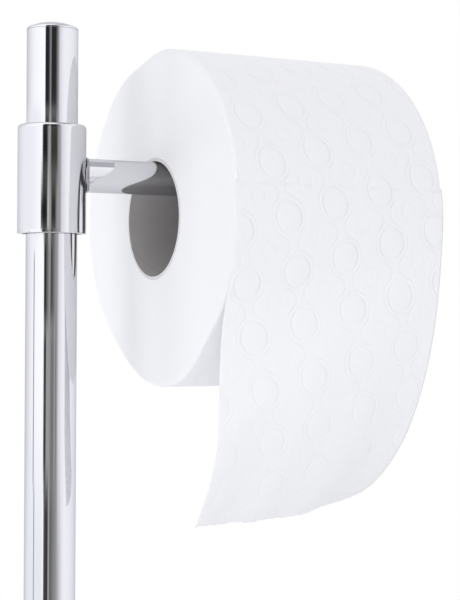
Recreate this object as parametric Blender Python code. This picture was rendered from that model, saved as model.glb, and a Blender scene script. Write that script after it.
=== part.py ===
"""A toilet butler: a free-standing chrome post on a weighted round base.

A sliding and turning collar on the post carries a straight arm with a paper roll on it,
and a lidded brush stands beside the post in a cup with a lift-out liner.

Units are metres and +Z is up. The origin is on the floor under the post's axis. The arm
points along +X, the end of the paper hangs on the -Y side and the cup stands on the -X side.
Heights inside a moving group are counted from that group's own empty.
"""

import math

import bmesh
import bpy

# Shared clearances and mesh fineness
touching_gap = 0.0003
merge_distance = 0.000001
cut_overrun = 0.004
fine_segments = 48
tube_segments = 32
small_segments = 16
hexagon_sides = 6
arc_steps = 3
dome_steps = 4

# Post, and the rim under the dome of each end cap
stand_height = 0.700
cap_rim_height = 0.0005
post_diameter = 0.01905
post_wall = 0.0012
post_cap_rise = 0.0022
post_cap_spigot = 0.012
lower_post_length = 0.345
joiner_ring_height = 0.0016
joiner_plug_length = 0.030

# Collar, bush and set screw
collar_height = 0.0402
collar_top_drop = 0.0358
collar_wall = 0.001775
collar_edge_round = 0.0014
collar_lip_thickness = 0.0015
bush_wall = 0.0008
bush_recess = 0.0006
set_screw_diameter = 0.005
set_screw_socket = 0.0025
set_screw_socket_depth = 0.0009
set_screw_recess = 0.0003

# Arm
arm_diameter = 0.0127
arm_rise_over_collar_middle = 0.0021
arm_spigot_diameter = 0.008
arm_seat_thickness = 0.0006
arm_seat_lip = 0.0005
arm_tip_projection = 0.0151
arm_cap_rise = 0.0022
arm_cap_spigot = 0.010
arm_cap_wall = 0.0016

# Paper roll, its core and the hanging end
roll_diameter = 0.130
roll_width = 0.0878
roll_edge_round = 0.0015
roll_standoff = 0.0299
core_diameter = 0.0462
core_wall = 0.001
core_overhang = 0.001
sheet_thickness = 0.0012
sheet_near_drop = 0.117
sheet_far_drop = 0.130
sheet_wrap_angle = math.radians(10.0)
sheet_near_curl = math.radians(31.0)
sheet_far_curl = math.radians(65.0)
sheet_near_power = 1.3
sheet_far_power = 1.4
sheet_columns = 8
sheet_wrap_rows = 3
sheet_drop_rows = 16

# Weighted base
base_margin = 0.002
base_edge_round = 0.004
cover_wall = 0.001
skirt_floor_gap = 0.001
pad_thickness = 0.0025
pad_inset = 0.003
pad_edge_round = 0.0006
weight_thickness = 0.0105
flange_radius_step = 0.0085
flange_height = 0.005
flange_edge_round = 0.0015
foot_plug_length = 0.030
bolt_diameter = 0.008
bolt_thread_length = 0.020
bolt_head_diameter = 0.013
bolt_head_height = 0.0045
bolt_socket = 0.006
bolt_socket_depth = 0.0028
bolt_tip_clearance = 0.002
washer_rim = 0.0015
washer_thickness = 0.0016

# Brush cup, its locating disc and its liner
cup_diameter = 0.084
cup_height = 0.125
cup_wall = 0.001
cup_edge_round = 0.006
cup_flange_gap = 0.002
kick_diameter = 0.052
kick_height = 0.0032
kick_slope = 0.002
disc_inset = 0.0015
disc_edge_round = 0.0006
liner_wall = 0.0014
liner_edge_round = 0.004
liner_rim_thickness = 0.0016

# Brush
lid_thickness = 0.003
lid_dome_rise = 0.003
lid_edge_round = 0.0012
lid_skirt_depth = 0.003
lid_skirt_wall = 0.0015
lid_skirt_clearance = 0.0006
ferrule_wall = 0.003
ferrule_height = 0.012
ferrule_floor = 0.003
ferrule_edge_round = 0.001
handle_diameter = 0.014
handle_wall = 0.001
handle_length = 0.2475
handle_cap_rise = 0.0025
handle_cap_spigot = 0.010
rod_diameter = 0.006
rod_head_length = 0.020
hub_diameter = 0.026
hub_length = 0.080
hub_edge_round = 0.006
hub_socket_depth = 0.028
hub_socket_tip_gap = 0.001
bristle_radius_step = 0.017
bristle_length = 0.074
bristle_edge_round = 0.007
bristle_end_thickness = 0.005
bristle_floor_gap = 0.004

# Colours, as red, green and blue shares of full light
chrome_colour = (0.80, 0.80, 0.83)
steel_colour = (0.52, 0.53, 0.55)
iron_colour = (0.09, 0.09, 0.10)
rubber_colour = (0.04, 0.04, 0.045)
nylon_colour = (0.86, 0.86, 0.85)
white_plastic_colour = (0.90, 0.90, 0.90)
bristle_colour = (0.94, 0.94, 0.94)
paper_colour = (0.93, 0.93, 0.95)
board_colour = (0.55, 0.52, 0.50)

# Sizes that follow from the values above
post_radius = post_diameter / 2
post_bore_radius = post_radius - post_wall
bush_inner_radius = post_radius + touching_gap
bush_outer_radius = bush_inner_radius + bush_wall
collar_bore_radius = bush_outer_radius + touching_gap
collar_radius = collar_bore_radius + collar_wall
post_tube_top = stand_height - cap_rim_height - touching_gap
collar_middle_height = stand_height - collar_top_drop - collar_height / 2
arm_radius = arm_diameter / 2
arm_spigot_radius = arm_spigot_diameter / 2
arm_seat_inner_reach = collar_radius + touching_gap
arm_seat_outer_reach = arm_seat_inner_reach + arm_seat_thickness
arm_shoulder = arm_seat_outer_reach + touching_gap
roll_radius = roll_diameter / 2
roll_near_face = collar_radius + roll_standoff
roll_middle = roll_near_face + roll_width / 2
arm_end = roll_near_face + roll_width + arm_tip_projection
core_radius = core_diameter / 2
core_bore_radius = core_radius - core_wall
roll_drop_below_arm = core_bore_radius - arm_radius - touching_gap
flange_radius = post_radius + flange_radius_step
cup_radius = cup_diameter / 2
cup_distance = flange_radius + cup_flange_gap + cup_radius
base_radius = cup_distance + cup_radius + base_edge_round + base_margin
weight_bottom = pad_thickness + touching_gap
weight_top = weight_bottom + weight_thickness
cover_top = weight_top + touching_gap + cover_wall
seat_height = cover_top + touching_gap
joiner_height = seat_height + lower_post_length + touching_gap + joiner_ring_height / 2
bolt_radius = bolt_diameter / 2
bolt_hole_radius = bolt_radius + touching_gap
washer_radius = bolt_head_diameter / 2 + washer_rim
recess_radius = washer_radius + touching_gap
recess_top = weight_bottom + washer_thickness + bolt_head_height + 3 * touching_gap
kick_radius = kick_diameter / 2
liner_radius = cup_radius - cup_wall - touching_gap
liner_bore_radius = liner_radius - liner_wall
liner_bottom = kick_height + cup_wall + touching_gap
liner_floor = liner_bottom + liner_wall
liner_rim_bottom = cup_height + touching_gap
liner_rim_top = liner_rim_bottom + liner_rim_thickness
lid_bottom = liner_rim_top + touching_gap
lid_top = lid_bottom + lid_thickness + lid_dome_rise
handle_radius = handle_diameter / 2
handle_bore_radius = handle_radius - handle_wall
rod_radius = rod_diameter / 2
rod_hole_radius = rod_radius + touching_gap
ferrule_bottom = lid_top + touching_gap
ferrule_radius = handle_radius + ferrule_wall
handle_bottom = ferrule_bottom + ferrule_floor + touching_gap
handle_top = handle_bottom + handle_length
hub_radius = hub_diameter / 2
bristle_bottom = liner_floor + bristle_floor_gap
hub_bottom = bristle_bottom + bristle_end_thickness + touching_gap
hub_top = hub_bottom + hub_length
rod_bottom = hub_top - hub_socket_depth + hub_socket_tip_gap


def clear_scene():
    """Remove the objects that the scene holds."""
    for item in list(bpy.data.objects):
        bpy.data.objects.remove(item, do_unlink=True)


def finish(name, colour, roughness, metallic):
    """Return a plain surface of one colour."""
    material = bpy.data.materials.new(name)
    material.use_nodes = True
    shader = material.node_tree.nodes["Principled BSDF"]
    shader.inputs["Base Color"].default_value = (*colour, 1.0)
    shader.inputs["Roughness"].default_value = roughness
    shader.inputs["Metallic"].default_value = metallic
    material.diffuse_color = (*colour, 1.0)
    return material


def chrome(name):
    return finish(name + "_chrome", chrome_colour, 0.05, 1.0)


def steel(name):
    return finish(name + "_steel", steel_colour, 0.32, 1.0)


def cast_iron(name):
    return finish(name + "_iron", iron_colour, 0.70, 0.6)


def rubber(name):
    return finish(name + "_rubber", rubber_colour, 0.80, 0.0)


def nylon(name):
    return finish(name + "_nylon", nylon_colour, 0.45, 0.0)


def white_plastic(name):
    return finish(name + "_plastic", white_plastic_colour, 0.30, 0.0)


def bristle_fibre(name):
    return finish(name + "_fibre", bristle_colour, 0.50, 0.0)


def paper(name):
    return finish(name + "_paper", paper_colour, 0.95, 0.0)


def board(name):
    return finish(name + "_board", board_colour, 0.90, 0.0)


def group(name, parent, location):
    """Return an empty that stands on a joint's axis and carries that joint's pieces."""
    empty = bpy.data.objects.new(name, None)
    empty.parent = parent
    empty.location = location
    bpy.context.scene.collection.objects.link(empty)
    return empty


def place(name, shape, make_material, parent, turn=(0.0, 0.0, 0.0)):
    """Turn a bmesh into a smooth-shaded object in its group."""
    mesh = bpy.data.meshes.new(name)
    shape.to_mesh(mesh)
    shape.free()
    mesh.shade_smooth()
    mesh.set_sharp_from_angle(angle=math.radians(35.0))
    mesh.materials.append(make_material(name))
    item = bpy.data.objects.new(name, mesh)
    item.parent = parent
    item.rotation_euler = turn
    bpy.context.scene.collection.objects.link(item)
    return item


# Turns that lay a piece made about Z along +X or along +Y
along_x = (0.0, math.radians(90.0), 0.0)
along_y = (math.radians(-90.0), 0.0, 0.0)


def arc(centre_radius, centre_height, radius, start, end, steps=arc_steps):
    """Return points on an arc in the outline's plane, angles in degrees from the outward side."""
    points = []
    for step in range(steps + 1):
        angle = math.radians(start + (end - start) * step / steps)
        points.append((centre_radius + radius * math.cos(angle),
                       centre_height + radius * math.sin(angle)))
    return points


def dome(rim_radius, rim_height, rise):
    """Return the points of a shallow ball-shaped top, from its rim to the axis."""
    ball_radius = (rim_radius ** 2 + rise ** 2) / (2 * rise)
    ball_centre = rim_height + rise - ball_radius
    half_angle = math.asin(rim_radius / ball_radius)
    points = []
    for step in range(dome_steps):
        angle = half_angle * (1 - step / dome_steps)
        points.append((ball_radius * math.sin(angle), ball_centre + ball_radius * math.cos(angle)))
    points.append((0.0, rim_height + rise))
    return points


def turned(outline, segments, closed):
    """Spin an outline of (radius, height) points about Z: a closed loop, or a chain that
    starts and ends on the axis."""
    shape = bmesh.new()
    corners = [shape.verts.new((radius, 0.0, height)) for radius, height in outline]
    edges = [shape.edges.new(pair) for pair in zip(corners, corners[1:])]
    if closed:
        edges.append(shape.edges.new((corners[-1], corners[0])))
    bmesh.ops.spin(shape, geom=corners + edges, axis=(0.0, 0.0, 1.0), cent=(0.0, 0.0, 0.0),
                   dvec=(0.0, 0.0, 0.0), angle=math.tau, steps=segments, use_merge=True,
                   use_duplicate=False)
    bmesh.ops.remove_doubles(shape, verts=shape.verts, dist=merge_distance)
    bmesh.ops.recalc_face_normals(shape, faces=shape.faces)
    return shape


def tube(inner_radius, outer_radius, low, high, segments):
    """Return a plain round tube."""
    outline = [(inner_radius, low), (outer_radius, low), (outer_radius, high),
               (inner_radius, high)]
    return turned(outline, segments, True)


def disc(radius, low, high, edge_round, segments):
    """Return a solid disc with both outer edges rounded."""
    outline = [(0.0, low)]
    outline += arc(radius - edge_round, low + edge_round, edge_round, -90, 0)
    outline += arc(radius - edge_round, high - edge_round, edge_round, 0, 90)
    outline += [(0.0, high)]
    return turned(outline, segments, False)


def prism(radius, low, high, sides):
    """Return a straight bar about Z, round or with flat sides."""
    return turned([(0.0, low), (radius, low), (radius, high), (0.0, high)], sides, False)


def domed_plug(rim_radius, spigot_radius, rim, spigot_length, rise, segments):
    """Return a plug with a rim and a shallow dome over the end of a tube."""
    outline = [(0.0, rim - spigot_length), (spigot_radius, rim - spigot_length),
               (spigot_radius, rim), (rim_radius, rim)]
    outline += dome(rim_radius, rim + cap_rim_height, rise)
    return turned(outline, segments, False)


def wrap_end(shape, height, reach):
    """Curve one end of a piece that is laid along the arm, to follow a round upright."""
    for corner in shape.verts:
        if abs(corner.co.z - height) < merge_distance:
            corner.co.z = math.sqrt(reach ** 2 - corner.co.y ** 2)


def cut(item, name, shape, parent, turn=(0.0, 0.0, 0.0)):
    """Subtract a hidden cutter from a piece."""
    mesh = bpy.data.meshes.new(name)
    shape.to_mesh(mesh)
    shape.free()
    cutter = bpy.data.objects.new(name, mesh)
    cutter.parent = parent
    cutter.rotation_euler = turn
    cutter.hide_render = True
    cutter.display_type = "WIRE"
    bpy.context.scene.collection.objects.link(cutter)
    difference = item.modifiers.new(name, "BOOLEAN")
    difference.operation = "DIFFERENCE"
    difference.solver = "EXACT"
    difference.object = cutter
    return cutter


# Weighted base


def make_base_pad(stand):
    """The soft pad that the stand rests on."""
    radius = base_radius - cover_wall - touching_gap - pad_inset
    place("base_pad", disc(radius, 0.0, pad_thickness, pad_edge_round, fine_segments), rubber, stand)


def make_base_weight(stand):
    """The heavy disc, with a recess under it for the bolt's head."""
    radius = base_radius - cover_wall - touching_gap
    edge_round = base_edge_round - cover_wall
    outline = [(recess_radius, weight_bottom), (radius, weight_bottom)]
    outline += arc(radius - edge_round, weight_top - edge_round, edge_round, 0, 90)
    outline += [(bolt_hole_radius, weight_top), (bolt_hole_radius, recess_top),
                (recess_radius, recess_top)]
    place("base_weight", turned(outline, fine_segments, True), cast_iron, stand)


def make_base_cover(stand):
    """The pressed cover over the weight, with a skirt that stops short of the floor."""
    inner_radius = base_radius - cover_wall
    inner_top = cover_top - cover_wall
    inner_round = base_edge_round - cover_wall
    outline = [(bolt_hole_radius, cover_top)]
    outline += arc(base_radius - base_edge_round, cover_top - base_edge_round, base_edge_round, 90, 0)
    outline += [(base_radius, skirt_floor_gap), (inner_radius, skirt_floor_gap)]
    outline += arc(inner_radius - inner_round, inner_top - inner_round, inner_round, 0, 90)
    outline += [(bolt_hole_radius, inner_top)]
    place("base_cover", turned(outline, fine_segments, True), chrome, stand)


def make_base_washer(stand):
    """The washer between the bolt's head and the weight."""
    high = recess_top - touching_gap
    washer = tube(bolt_hole_radius, washer_radius, high - washer_thickness, high, small_segments)
    place("base_washer", washer, steel, stand)


def make_base_bolt(stand):
    """The socket-head bolt that pulls the post down on the base."""
    head_top = recess_top - washer_thickness - 2 * touching_gap
    head_bottom = head_top - bolt_head_height
    head_radius = bolt_head_diameter / 2
    tip = seat_height + bolt_thread_length
    outline = [(0.0, head_bottom), (head_radius, head_bottom), (head_radius, head_top),
               (bolt_radius, head_top), (bolt_radius, tip), (0.0, tip)]
    bolt = place("base_bolt", turned(outline, small_segments, False), steel, stand)
    socket = prism(bolt_socket / 2, head_bottom - cut_overrun, head_bottom + bolt_socket_depth,
                   hexagon_sides)
    cut(bolt, "base_bolt_socket_cutter", socket, stand)


def make_post_flange(stand):
    """The ring that covers the joint between post and base."""
    low = seat_height
    high = seat_height + flange_height
    inner_radius = post_radius + touching_gap
    outline = [(inner_radius, low), (flange_radius, low)]
    outline += arc(flange_radius - flange_edge_round, high - flange_edge_round,
                   flange_edge_round, 0, 90)
    outline += [(inner_radius, high)]
    place("post_flange", turned(outline, tube_segments, True), chrome, stand)


# Post


def make_foot_plug(stand):
    """The threaded plug in the lower tube's foot, which takes the bolt."""
    radius = post_bore_radius - touching_gap
    low = seat_height
    high = seat_height + foot_plug_length
    thread_end = seat_height + bolt_thread_length + bolt_tip_clearance
    outline = [(0.0, thread_end), (bolt_hole_radius, thread_end), (bolt_hole_radius, low),
               (radius, low), (radius, high), (0.0, high)]
    place("post_foot_plug", turned(outline, tube_segments, False), steel, stand)


def make_lower_post(stand):
    """The lower tube."""
    high = seat_height + lower_post_length
    lower = tube(post_bore_radius, post_radius, seat_height, high, tube_segments)
    place("lower_post", lower, chrome, stand)


def make_post_joiner(stand):
    """The plug that joins the two tubes, with a thin ring flush with their outside."""
    plug_radius = post_bore_radius - touching_gap
    ring_low = joiner_height - joiner_ring_height / 2
    ring_high = joiner_height + joiner_ring_height / 2
    outline = [(0.0, ring_low - joiner_plug_length), (plug_radius, ring_low - joiner_plug_length),
               (plug_radius, ring_low), (post_radius, ring_low), (post_radius, ring_high),
               (plug_radius, ring_high), (plug_radius, ring_high + joiner_plug_length),
               (0.0, ring_high + joiner_plug_length)]
    place("post_joiner", turned(outline, tube_segments, False), chrome, stand)


def make_upper_post(stand):
    """The upper tube, which the collar slides on."""
    low = joiner_height + joiner_ring_height / 2 + touching_gap
    upper = tube(post_bore_radius, post_radius, low, post_tube_top, tube_segments)
    place("upper_post", upper, chrome, stand)


def make_post_cap(stand):
    """The domed cap in the top of the post."""
    cap = domed_plug(post_radius, post_bore_radius - touching_gap, post_tube_top + touching_gap,
                     post_cap_spigot, post_cap_rise, tube_segments)
    place("post_cap", cap, chrome, stand)


# Collar and arm, counted from the collar's middle


def make_collar_bush(holder):
    """The nylon bush that slides on the post and lets the collar turn on it."""
    low = -collar_height / 2 + bush_recess
    high = collar_height / 2 - collar_lip_thickness - touching_gap
    bush = tube(bush_inner_radius, bush_outer_radius, low, high, tube_segments)
    place("collar_bush", bush, nylon, holder)


def make_collar(holder):
    """The chrome collar: it hangs by an inner lip on the bush, and is drilled for the arm
    on one side and for the set screw behind."""
    low = -collar_height / 2
    high = collar_height / 2
    lip_radius = post_radius + touching_gap
    outline = [(collar_bore_radius, low)]
    outline += arc(collar_radius - collar_edge_round, low + collar_edge_round,
                   collar_edge_round, -90, 0)
    outline += arc(collar_radius - collar_edge_round, high - collar_edge_round,
                   collar_edge_round, 0, 90)
    outline += [(lip_radius, high), (lip_radius, high - collar_lip_thickness),
                (collar_bore_radius, high - collar_lip_thickness)]
    collar = place("collar", turned(outline, tube_segments, True), chrome, holder)
    reach = collar_radius + cut_overrun
    arm_hole = prism(arm_spigot_radius + touching_gap, 0.0, reach, small_segments)
    arm_cutter = cut(collar, "collar_arm_hole_cutter", arm_hole, holder, along_x)
    arm_cutter.location = (0.0, 0.0, arm_rise_over_collar_middle)
    screw_hole = prism(set_screw_diameter / 2 + touching_gap, 0.0, reach, small_segments)
    cut(collar, "collar_screw_hole_cutter", screw_hole, holder, along_y)


def make_set_screw(holder):
    """The grub screw behind the collar that holds it at its height and angle."""
    low = collar_bore_radius
    high = collar_radius - set_screw_recess
    screw = place("set_screw", prism(set_screw_diameter / 2, low, high, small_segments), steel,
                  holder, along_y)
    socket = prism(set_screw_socket / 2, high - set_screw_socket_depth, high + cut_overrun,
                   hexagon_sides)
    cut(screw, "set_screw_socket_cutter", socket, holder, along_y)


def make_arm_seat(arm_axis):
    """The thin saddle washer between the arm's shoulder and the round collar."""
    saddle = tube(arm_spigot_radius + touching_gap, arm_radius + arm_seat_lip, 0.0, collar_radius,
                  tube_segments)
    wrap_end(saddle, collar_radius, arm_seat_outer_reach)
    wrap_end(saddle, 0.0, arm_seat_inner_reach)
    place("arm_seat", saddle, steel, arm_axis, along_x)


def make_arm(arm_axis):
    """The arm: a bar whose shoulder follows the collar, with a spigot in the collar's wall
    and a socket for its end cap."""
    socket_radius = arm_radius - arm_cap_wall
    socket_floor = arm_end - arm_cap_spigot - touching_gap
    outline = [(0.0, collar_bore_radius), (arm_spigot_radius, collar_bore_radius),
               (arm_spigot_radius, arm_shoulder), (arm_radius, arm_shoulder),
               (arm_radius, arm_end), (socket_radius, arm_end), (socket_radius, socket_floor),
               (0.0, socket_floor)]
    bar = turned(outline, tube_segments, False)
    wrap_end(bar, arm_shoulder, arm_shoulder)
    place("arm", bar, chrome, arm_axis, along_x)


def make_arm_cap(arm_axis):
    """The domed cap in the arm's free end."""
    cap = domed_plug(arm_radius, arm_radius - arm_cap_wall - touching_gap,
                     arm_end + touching_gap, arm_cap_spigot, arm_cap_rise, tube_segments)
    place("arm_cap", cap, chrome, arm_axis, along_x)


# Roll and hanging end, counted from the middle of the roll's axis


def make_roll_core(roll_axis):
    """The cardboard tube, which hangs on top of the arm."""
    reach = roll_width / 2 + core_overhang
    core = tube(core_bore_radius, core_radius, -reach, reach, fine_segments)
    place("roll_core", core, board, roll_axis, along_x)


def make_paper_roll(roll_axis):
    """The wound paper."""
    reach = roll_width / 2
    inner_radius = core_radius + touching_gap
    outline = [(inner_radius, -reach)]
    outline += arc(roll_radius - roll_edge_round, roll_edge_round - reach, roll_edge_round, -90, 0)
    outline += arc(roll_radius - roll_edge_round, reach - roll_edge_round, roll_edge_round, 0, 90)
    outline += [(inner_radius, reach)]
    place("paper_roll", turned(outline, fine_segments, True), paper, roll_axis, along_x)


def sheet_column(across_share):
    """Return one line of the hanging end, from top to bottom, as (y, z) points.

    It lies on the roll for a few degrees, leaves it where the roll faces forward, and curls
    back under the roll towards its torn edge, more on the side away from the post, where it
    was also torn off a little longer.
    """
    middle_radius = roll_radius + touching_gap + sheet_thickness / 2
    curl = sheet_near_curl + (sheet_far_curl - sheet_near_curl) * across_share
    power = sheet_near_power + (sheet_far_power - sheet_near_power) * across_share
    drop = sheet_near_drop + (sheet_far_drop - sheet_near_drop) * across_share
    points = []
    for row in range(sheet_wrap_rows + 1):
        angle = sheet_wrap_angle * (1 - row / sheet_wrap_rows)
        points.append((-middle_radius * math.cos(angle), middle_radius * math.sin(angle)))
    step = drop / sheet_drop_rows
    for row in range(sheet_drop_rows):
        lean = curl * ((row + 0.5) / sheet_drop_rows) ** power
        y, z = points[-1]
        points.append((y + step * math.sin(lean), z - step * math.cos(lean)))
    return points


def make_hanging_sheet(roll_axis):
    """The free end of the paper as one thin curved slab."""
    shape = bmesh.new()
    columns = []
    for column in range(sheet_columns + 1):
        across_share = column / sheet_columns
        x = roll_width * (across_share - 0.5)
        columns.append([shape.verts.new((x, y, z)) for y, z in sheet_column(across_share)])
    for left, right in zip(columns, columns[1:]):
        for row in range(len(left) - 1):
            shape.faces.new((left[row], left[row + 1], right[row + 1], right[row]))
    sheet = place("hanging_sheet", shape, paper, roll_axis)
    thicken = sheet.modifiers.new("sheet_thickness", "SOLIDIFY")
    thicken.thickness = sheet_thickness
    thicken.offset = 0.0
    thicken.use_even_offset = True


# Cup and liner, counted from the cup's underside


def make_cup_disc(stand):
    """The disc on the base that the hollow in the cup's underside drops over."""
    radius = kick_radius - disc_inset
    high = kick_height - touching_gap
    locator = place("cup_disc", disc(radius, 0.0, high, disc_edge_round, tube_segments), rubber, stand)
    locator.location = (-cup_distance, 0.0, seat_height)


def make_brush_cup(cup_seat):
    """The cup, with a shallow hollow pressed up into its underside."""
    inner_radius = cup_radius - cup_wall
    inner_round = cup_edge_round - cup_wall
    outline = [(0.0, kick_height), (kick_radius, kick_height), (kick_radius + kick_slope, 0.0)]
    outline += arc(cup_radius - cup_edge_round, cup_edge_round, cup_edge_round, -90, 0)
    outline += [(cup_radius, cup_height), (inner_radius, cup_height)]
    outline += arc(inner_radius - inner_round, cup_edge_round, inner_round, 0, -90)
    outline += [(kick_radius + kick_slope + cup_wall, cup_wall),
                (kick_radius + cup_wall, kick_height + cup_wall), (0.0, kick_height + cup_wall)]
    place("brush_cup", turned(outline, fine_segments, False), chrome, cup_seat)


def make_cup_liner(cup_seat):
    """The liner, which hangs by its rim on the cup and lifts out for washing."""
    inner_round = liner_edge_round - liner_wall
    outline = [(0.0, liner_bottom)]
    outline += arc(liner_radius - liner_edge_round, liner_bottom + liner_edge_round,
                   liner_edge_round, -90, 0)
    outline += [(liner_radius, liner_rim_bottom), (cup_radius, liner_rim_bottom),
                (cup_radius, liner_rim_top), (liner_bore_radius, liner_rim_top)]
    outline += arc(liner_bore_radius - inner_round, liner_bottom + liner_edge_round,
                   inner_round, 0, -90)
    outline += [(0.0, liner_floor)]
    place("cup_liner", turned(outline, fine_segments, False), white_plastic, cup_seat)


# Brush, counted from the cup's underside


def make_brush_lid(brush):
    """The lid on the brush: it rests on the liner's rim and its skirt centres it."""
    skirt_radius = liner_bore_radius - lid_skirt_clearance
    skirt_inner_radius = skirt_radius - lid_skirt_wall
    skirt_bottom = lid_bottom - lid_skirt_depth
    rim_top = lid_bottom + lid_thickness
    outline = [(rod_hole_radius, lid_bottom), (skirt_inner_radius, lid_bottom),
               (skirt_inner_radius, skirt_bottom), (skirt_radius, skirt_bottom),
               (skirt_radius, lid_bottom)]
    outline += arc(cup_radius - lid_edge_round, lid_bottom + lid_edge_round, lid_edge_round, -90, 0)
    outline += arc(cup_radius - lid_edge_round, rim_top - lid_edge_round, lid_edge_round, 0, 90)
    outline += [(ferrule_radius, lid_top), (rod_hole_radius, lid_top)]
    place("brush_lid", turned(outline, fine_segments, True), chrome, brush)


def make_handle_ferrule(brush):
    """The socket on the lid that the handle stands in."""
    high = ferrule_bottom + ferrule_height
    socket_radius = handle_radius + touching_gap
    floor = ferrule_bottom + ferrule_floor
    outline = [(rod_hole_radius, ferrule_bottom), (ferrule_radius, ferrule_bottom)]
    outline += arc(ferrule_radius - ferrule_edge_round, high - ferrule_edge_round,
                   ferrule_edge_round, 0, 90)
    outline += [(socket_radius, high), (socket_radius, floor), (rod_hole_radius, floor)]
    place("handle_ferrule", turned(outline, tube_segments, True), chrome, brush)


def make_brush_handle(brush):
    """The tubular handle."""
    handle = tube(handle_bore_radius, handle_radius, handle_bottom, handle_top, tube_segments)
    place("brush_handle", handle, chrome, brush)


def make_handle_cap(brush):
    """The domed cap in the handle's top."""
    cap = domed_plug(handle_radius, handle_bore_radius - touching_gap, handle_top + touching_gap,
                     handle_cap_spigot, handle_cap_rise, tube_segments)
    place("handle_cap", cap, chrome, brush)


def make_brush_rod(brush):
    """The rod from the handle down into the hub, with a head inside the handle's foot."""
    head_radius = handle_bore_radius - touching_gap
    head_top = handle_bottom + rod_head_length
    outline = [(0.0, rod_bottom), (rod_radius, rod_bottom), (rod_radius, handle_bottom),
               (head_radius, handle_bottom), (head_radius, head_top), (0.0, head_top)]
    place("brush_rod", turned(outline, small_segments, False), steel, brush)


def make_brush_hub(brush):
    """The hub that the bristles are set in, with a socket for the rod."""
    socket_floor = hub_top - hub_socket_depth
    outline = [(0.0, socket_floor), (rod_hole_radius, socket_floor), (rod_hole_radius, hub_top),
               (hub_radius, hub_top)]
    outline += arc(hub_radius - hub_edge_round, hub_bottom + hub_edge_round, hub_edge_round, 0, -90)
    outline += [(0.0, hub_bottom)]
    place("brush_hub", turned(outline, tube_segments, False), white_plastic, brush)


def make_bristles(brush):
    """The bristles as one solid of their outer shape, with the hub in its hollow."""
    inner_radius = hub_radius + touching_gap
    outer_radius = hub_radius + bristle_radius_step
    high = bristle_bottom + bristle_length
    floor = hub_bottom - touching_gap
    outline = [(0.0, bristle_bottom)]
    outline += arc(outer_radius - bristle_edge_round, bristle_bottom + bristle_edge_round,
                   bristle_edge_round, -90, 0)
    outline += arc(outer_radius - bristle_edge_round, high - bristle_edge_round,
                   bristle_edge_round, 0, 90)
    outline += [(inner_radius, high), (inner_radius, floor), (0.0, floor)]
    place("bristles", turned(outline, tube_segments, False), bristle_fibre, brush)


def make_stand():
    """Everything that stays on the floor."""
    stand = group("stand", None, (0.0, 0.0, 0.0))
    make_base_pad(stand)
    make_base_weight(stand)
    make_base_cover(stand)
    make_base_washer(stand)
    make_base_bolt(stand)
    make_post_flange(stand)
    make_foot_plug(stand)
    make_lower_post(stand)
    make_post_joiner(stand)
    make_upper_post(stand)
    make_post_cap(stand)
    make_cup_disc(stand)
    return stand


def make_holder(stand):
    """The sliding bush, the turning collar with its arm, and the roll on the arm."""
    slider = group("holder_slider", stand, (0.0, 0.0, collar_middle_height))
    make_collar_bush(slider)
    holder = group("holder_turn", slider, (0.0, 0.0, 0.0))
    make_collar(holder)
    make_set_screw(holder)
    arm_axis = group("arm_axis", holder, (0.0, 0.0, arm_rise_over_collar_middle))
    make_arm_seat(arm_axis)
    make_arm(arm_axis)
    make_arm_cap(arm_axis)
    roll_carrier = group("roll_slide", arm_axis, (roll_middle, 0.0, -roll_drop_below_arm))
    make_hanging_sheet(roll_carrier)
    roll_axis = group("roll_spin", roll_carrier, (0.0, 0.0, 0.0))
    make_roll_core(roll_axis)
    make_paper_roll(roll_axis)


def make_brush_set(stand):
    """The cup, its liner and the brush that stands in it."""
    cup_seat = group("cup_seat", stand, (-cup_distance, 0.0, seat_height))
    make_brush_cup(cup_seat)
    liner_seat = group("liner_seat", cup_seat, (0.0, 0.0, 0.0))
    make_cup_liner(liner_seat)
    brush = group("brush_seat", liner_seat, (0.0, 0.0, 0.0))
    make_brush_lid(brush)
    make_handle_ferrule(brush)
    make_brush_handle(brush)
    make_handle_cap(brush)
    make_brush_rod(brush)
    make_brush_hub(brush)
    make_bristles(brush)


def main():
    clear_scene()
    stand = make_stand()
    make_holder(stand)
    make_brush_set(stand)


if __name__ == "__main__":
    main()
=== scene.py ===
"""Looks of a toilet butler: a chrome post with a sliding collar, an arm and a paper roll.

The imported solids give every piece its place. The pieces that show are built again here with
finer turned shapes, relief and finishes, and each one rides on the body of the solid that it
stands for. Units are metres, +Z is up and the arm points along +X.
"""

import logging
import math
from dataclasses import dataclass
from enum import Enum
from typing import Callable, Iterable, Sequence, Union

import bmesh
import bpy
import numpy as np
from mathutils import Matrix, Vector


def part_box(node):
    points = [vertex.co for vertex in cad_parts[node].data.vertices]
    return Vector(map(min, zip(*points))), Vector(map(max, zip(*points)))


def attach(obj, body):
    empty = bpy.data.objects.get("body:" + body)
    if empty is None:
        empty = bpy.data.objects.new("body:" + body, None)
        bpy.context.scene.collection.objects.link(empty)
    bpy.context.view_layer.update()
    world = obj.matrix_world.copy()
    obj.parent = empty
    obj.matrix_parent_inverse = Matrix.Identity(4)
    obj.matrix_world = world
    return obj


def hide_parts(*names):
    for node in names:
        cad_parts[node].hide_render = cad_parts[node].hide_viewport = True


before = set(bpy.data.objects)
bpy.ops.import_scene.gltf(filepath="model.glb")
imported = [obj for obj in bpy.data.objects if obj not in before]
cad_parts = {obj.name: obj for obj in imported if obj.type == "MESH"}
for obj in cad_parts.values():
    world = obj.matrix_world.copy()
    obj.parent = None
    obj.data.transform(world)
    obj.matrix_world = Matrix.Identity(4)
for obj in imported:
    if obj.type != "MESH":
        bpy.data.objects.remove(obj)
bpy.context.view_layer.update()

log = logging.getLogger("toilet_butler")

Colour = tuple[float, float, float]
WHITE: Colour = (1.0, 1.0, 1.0)

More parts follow.
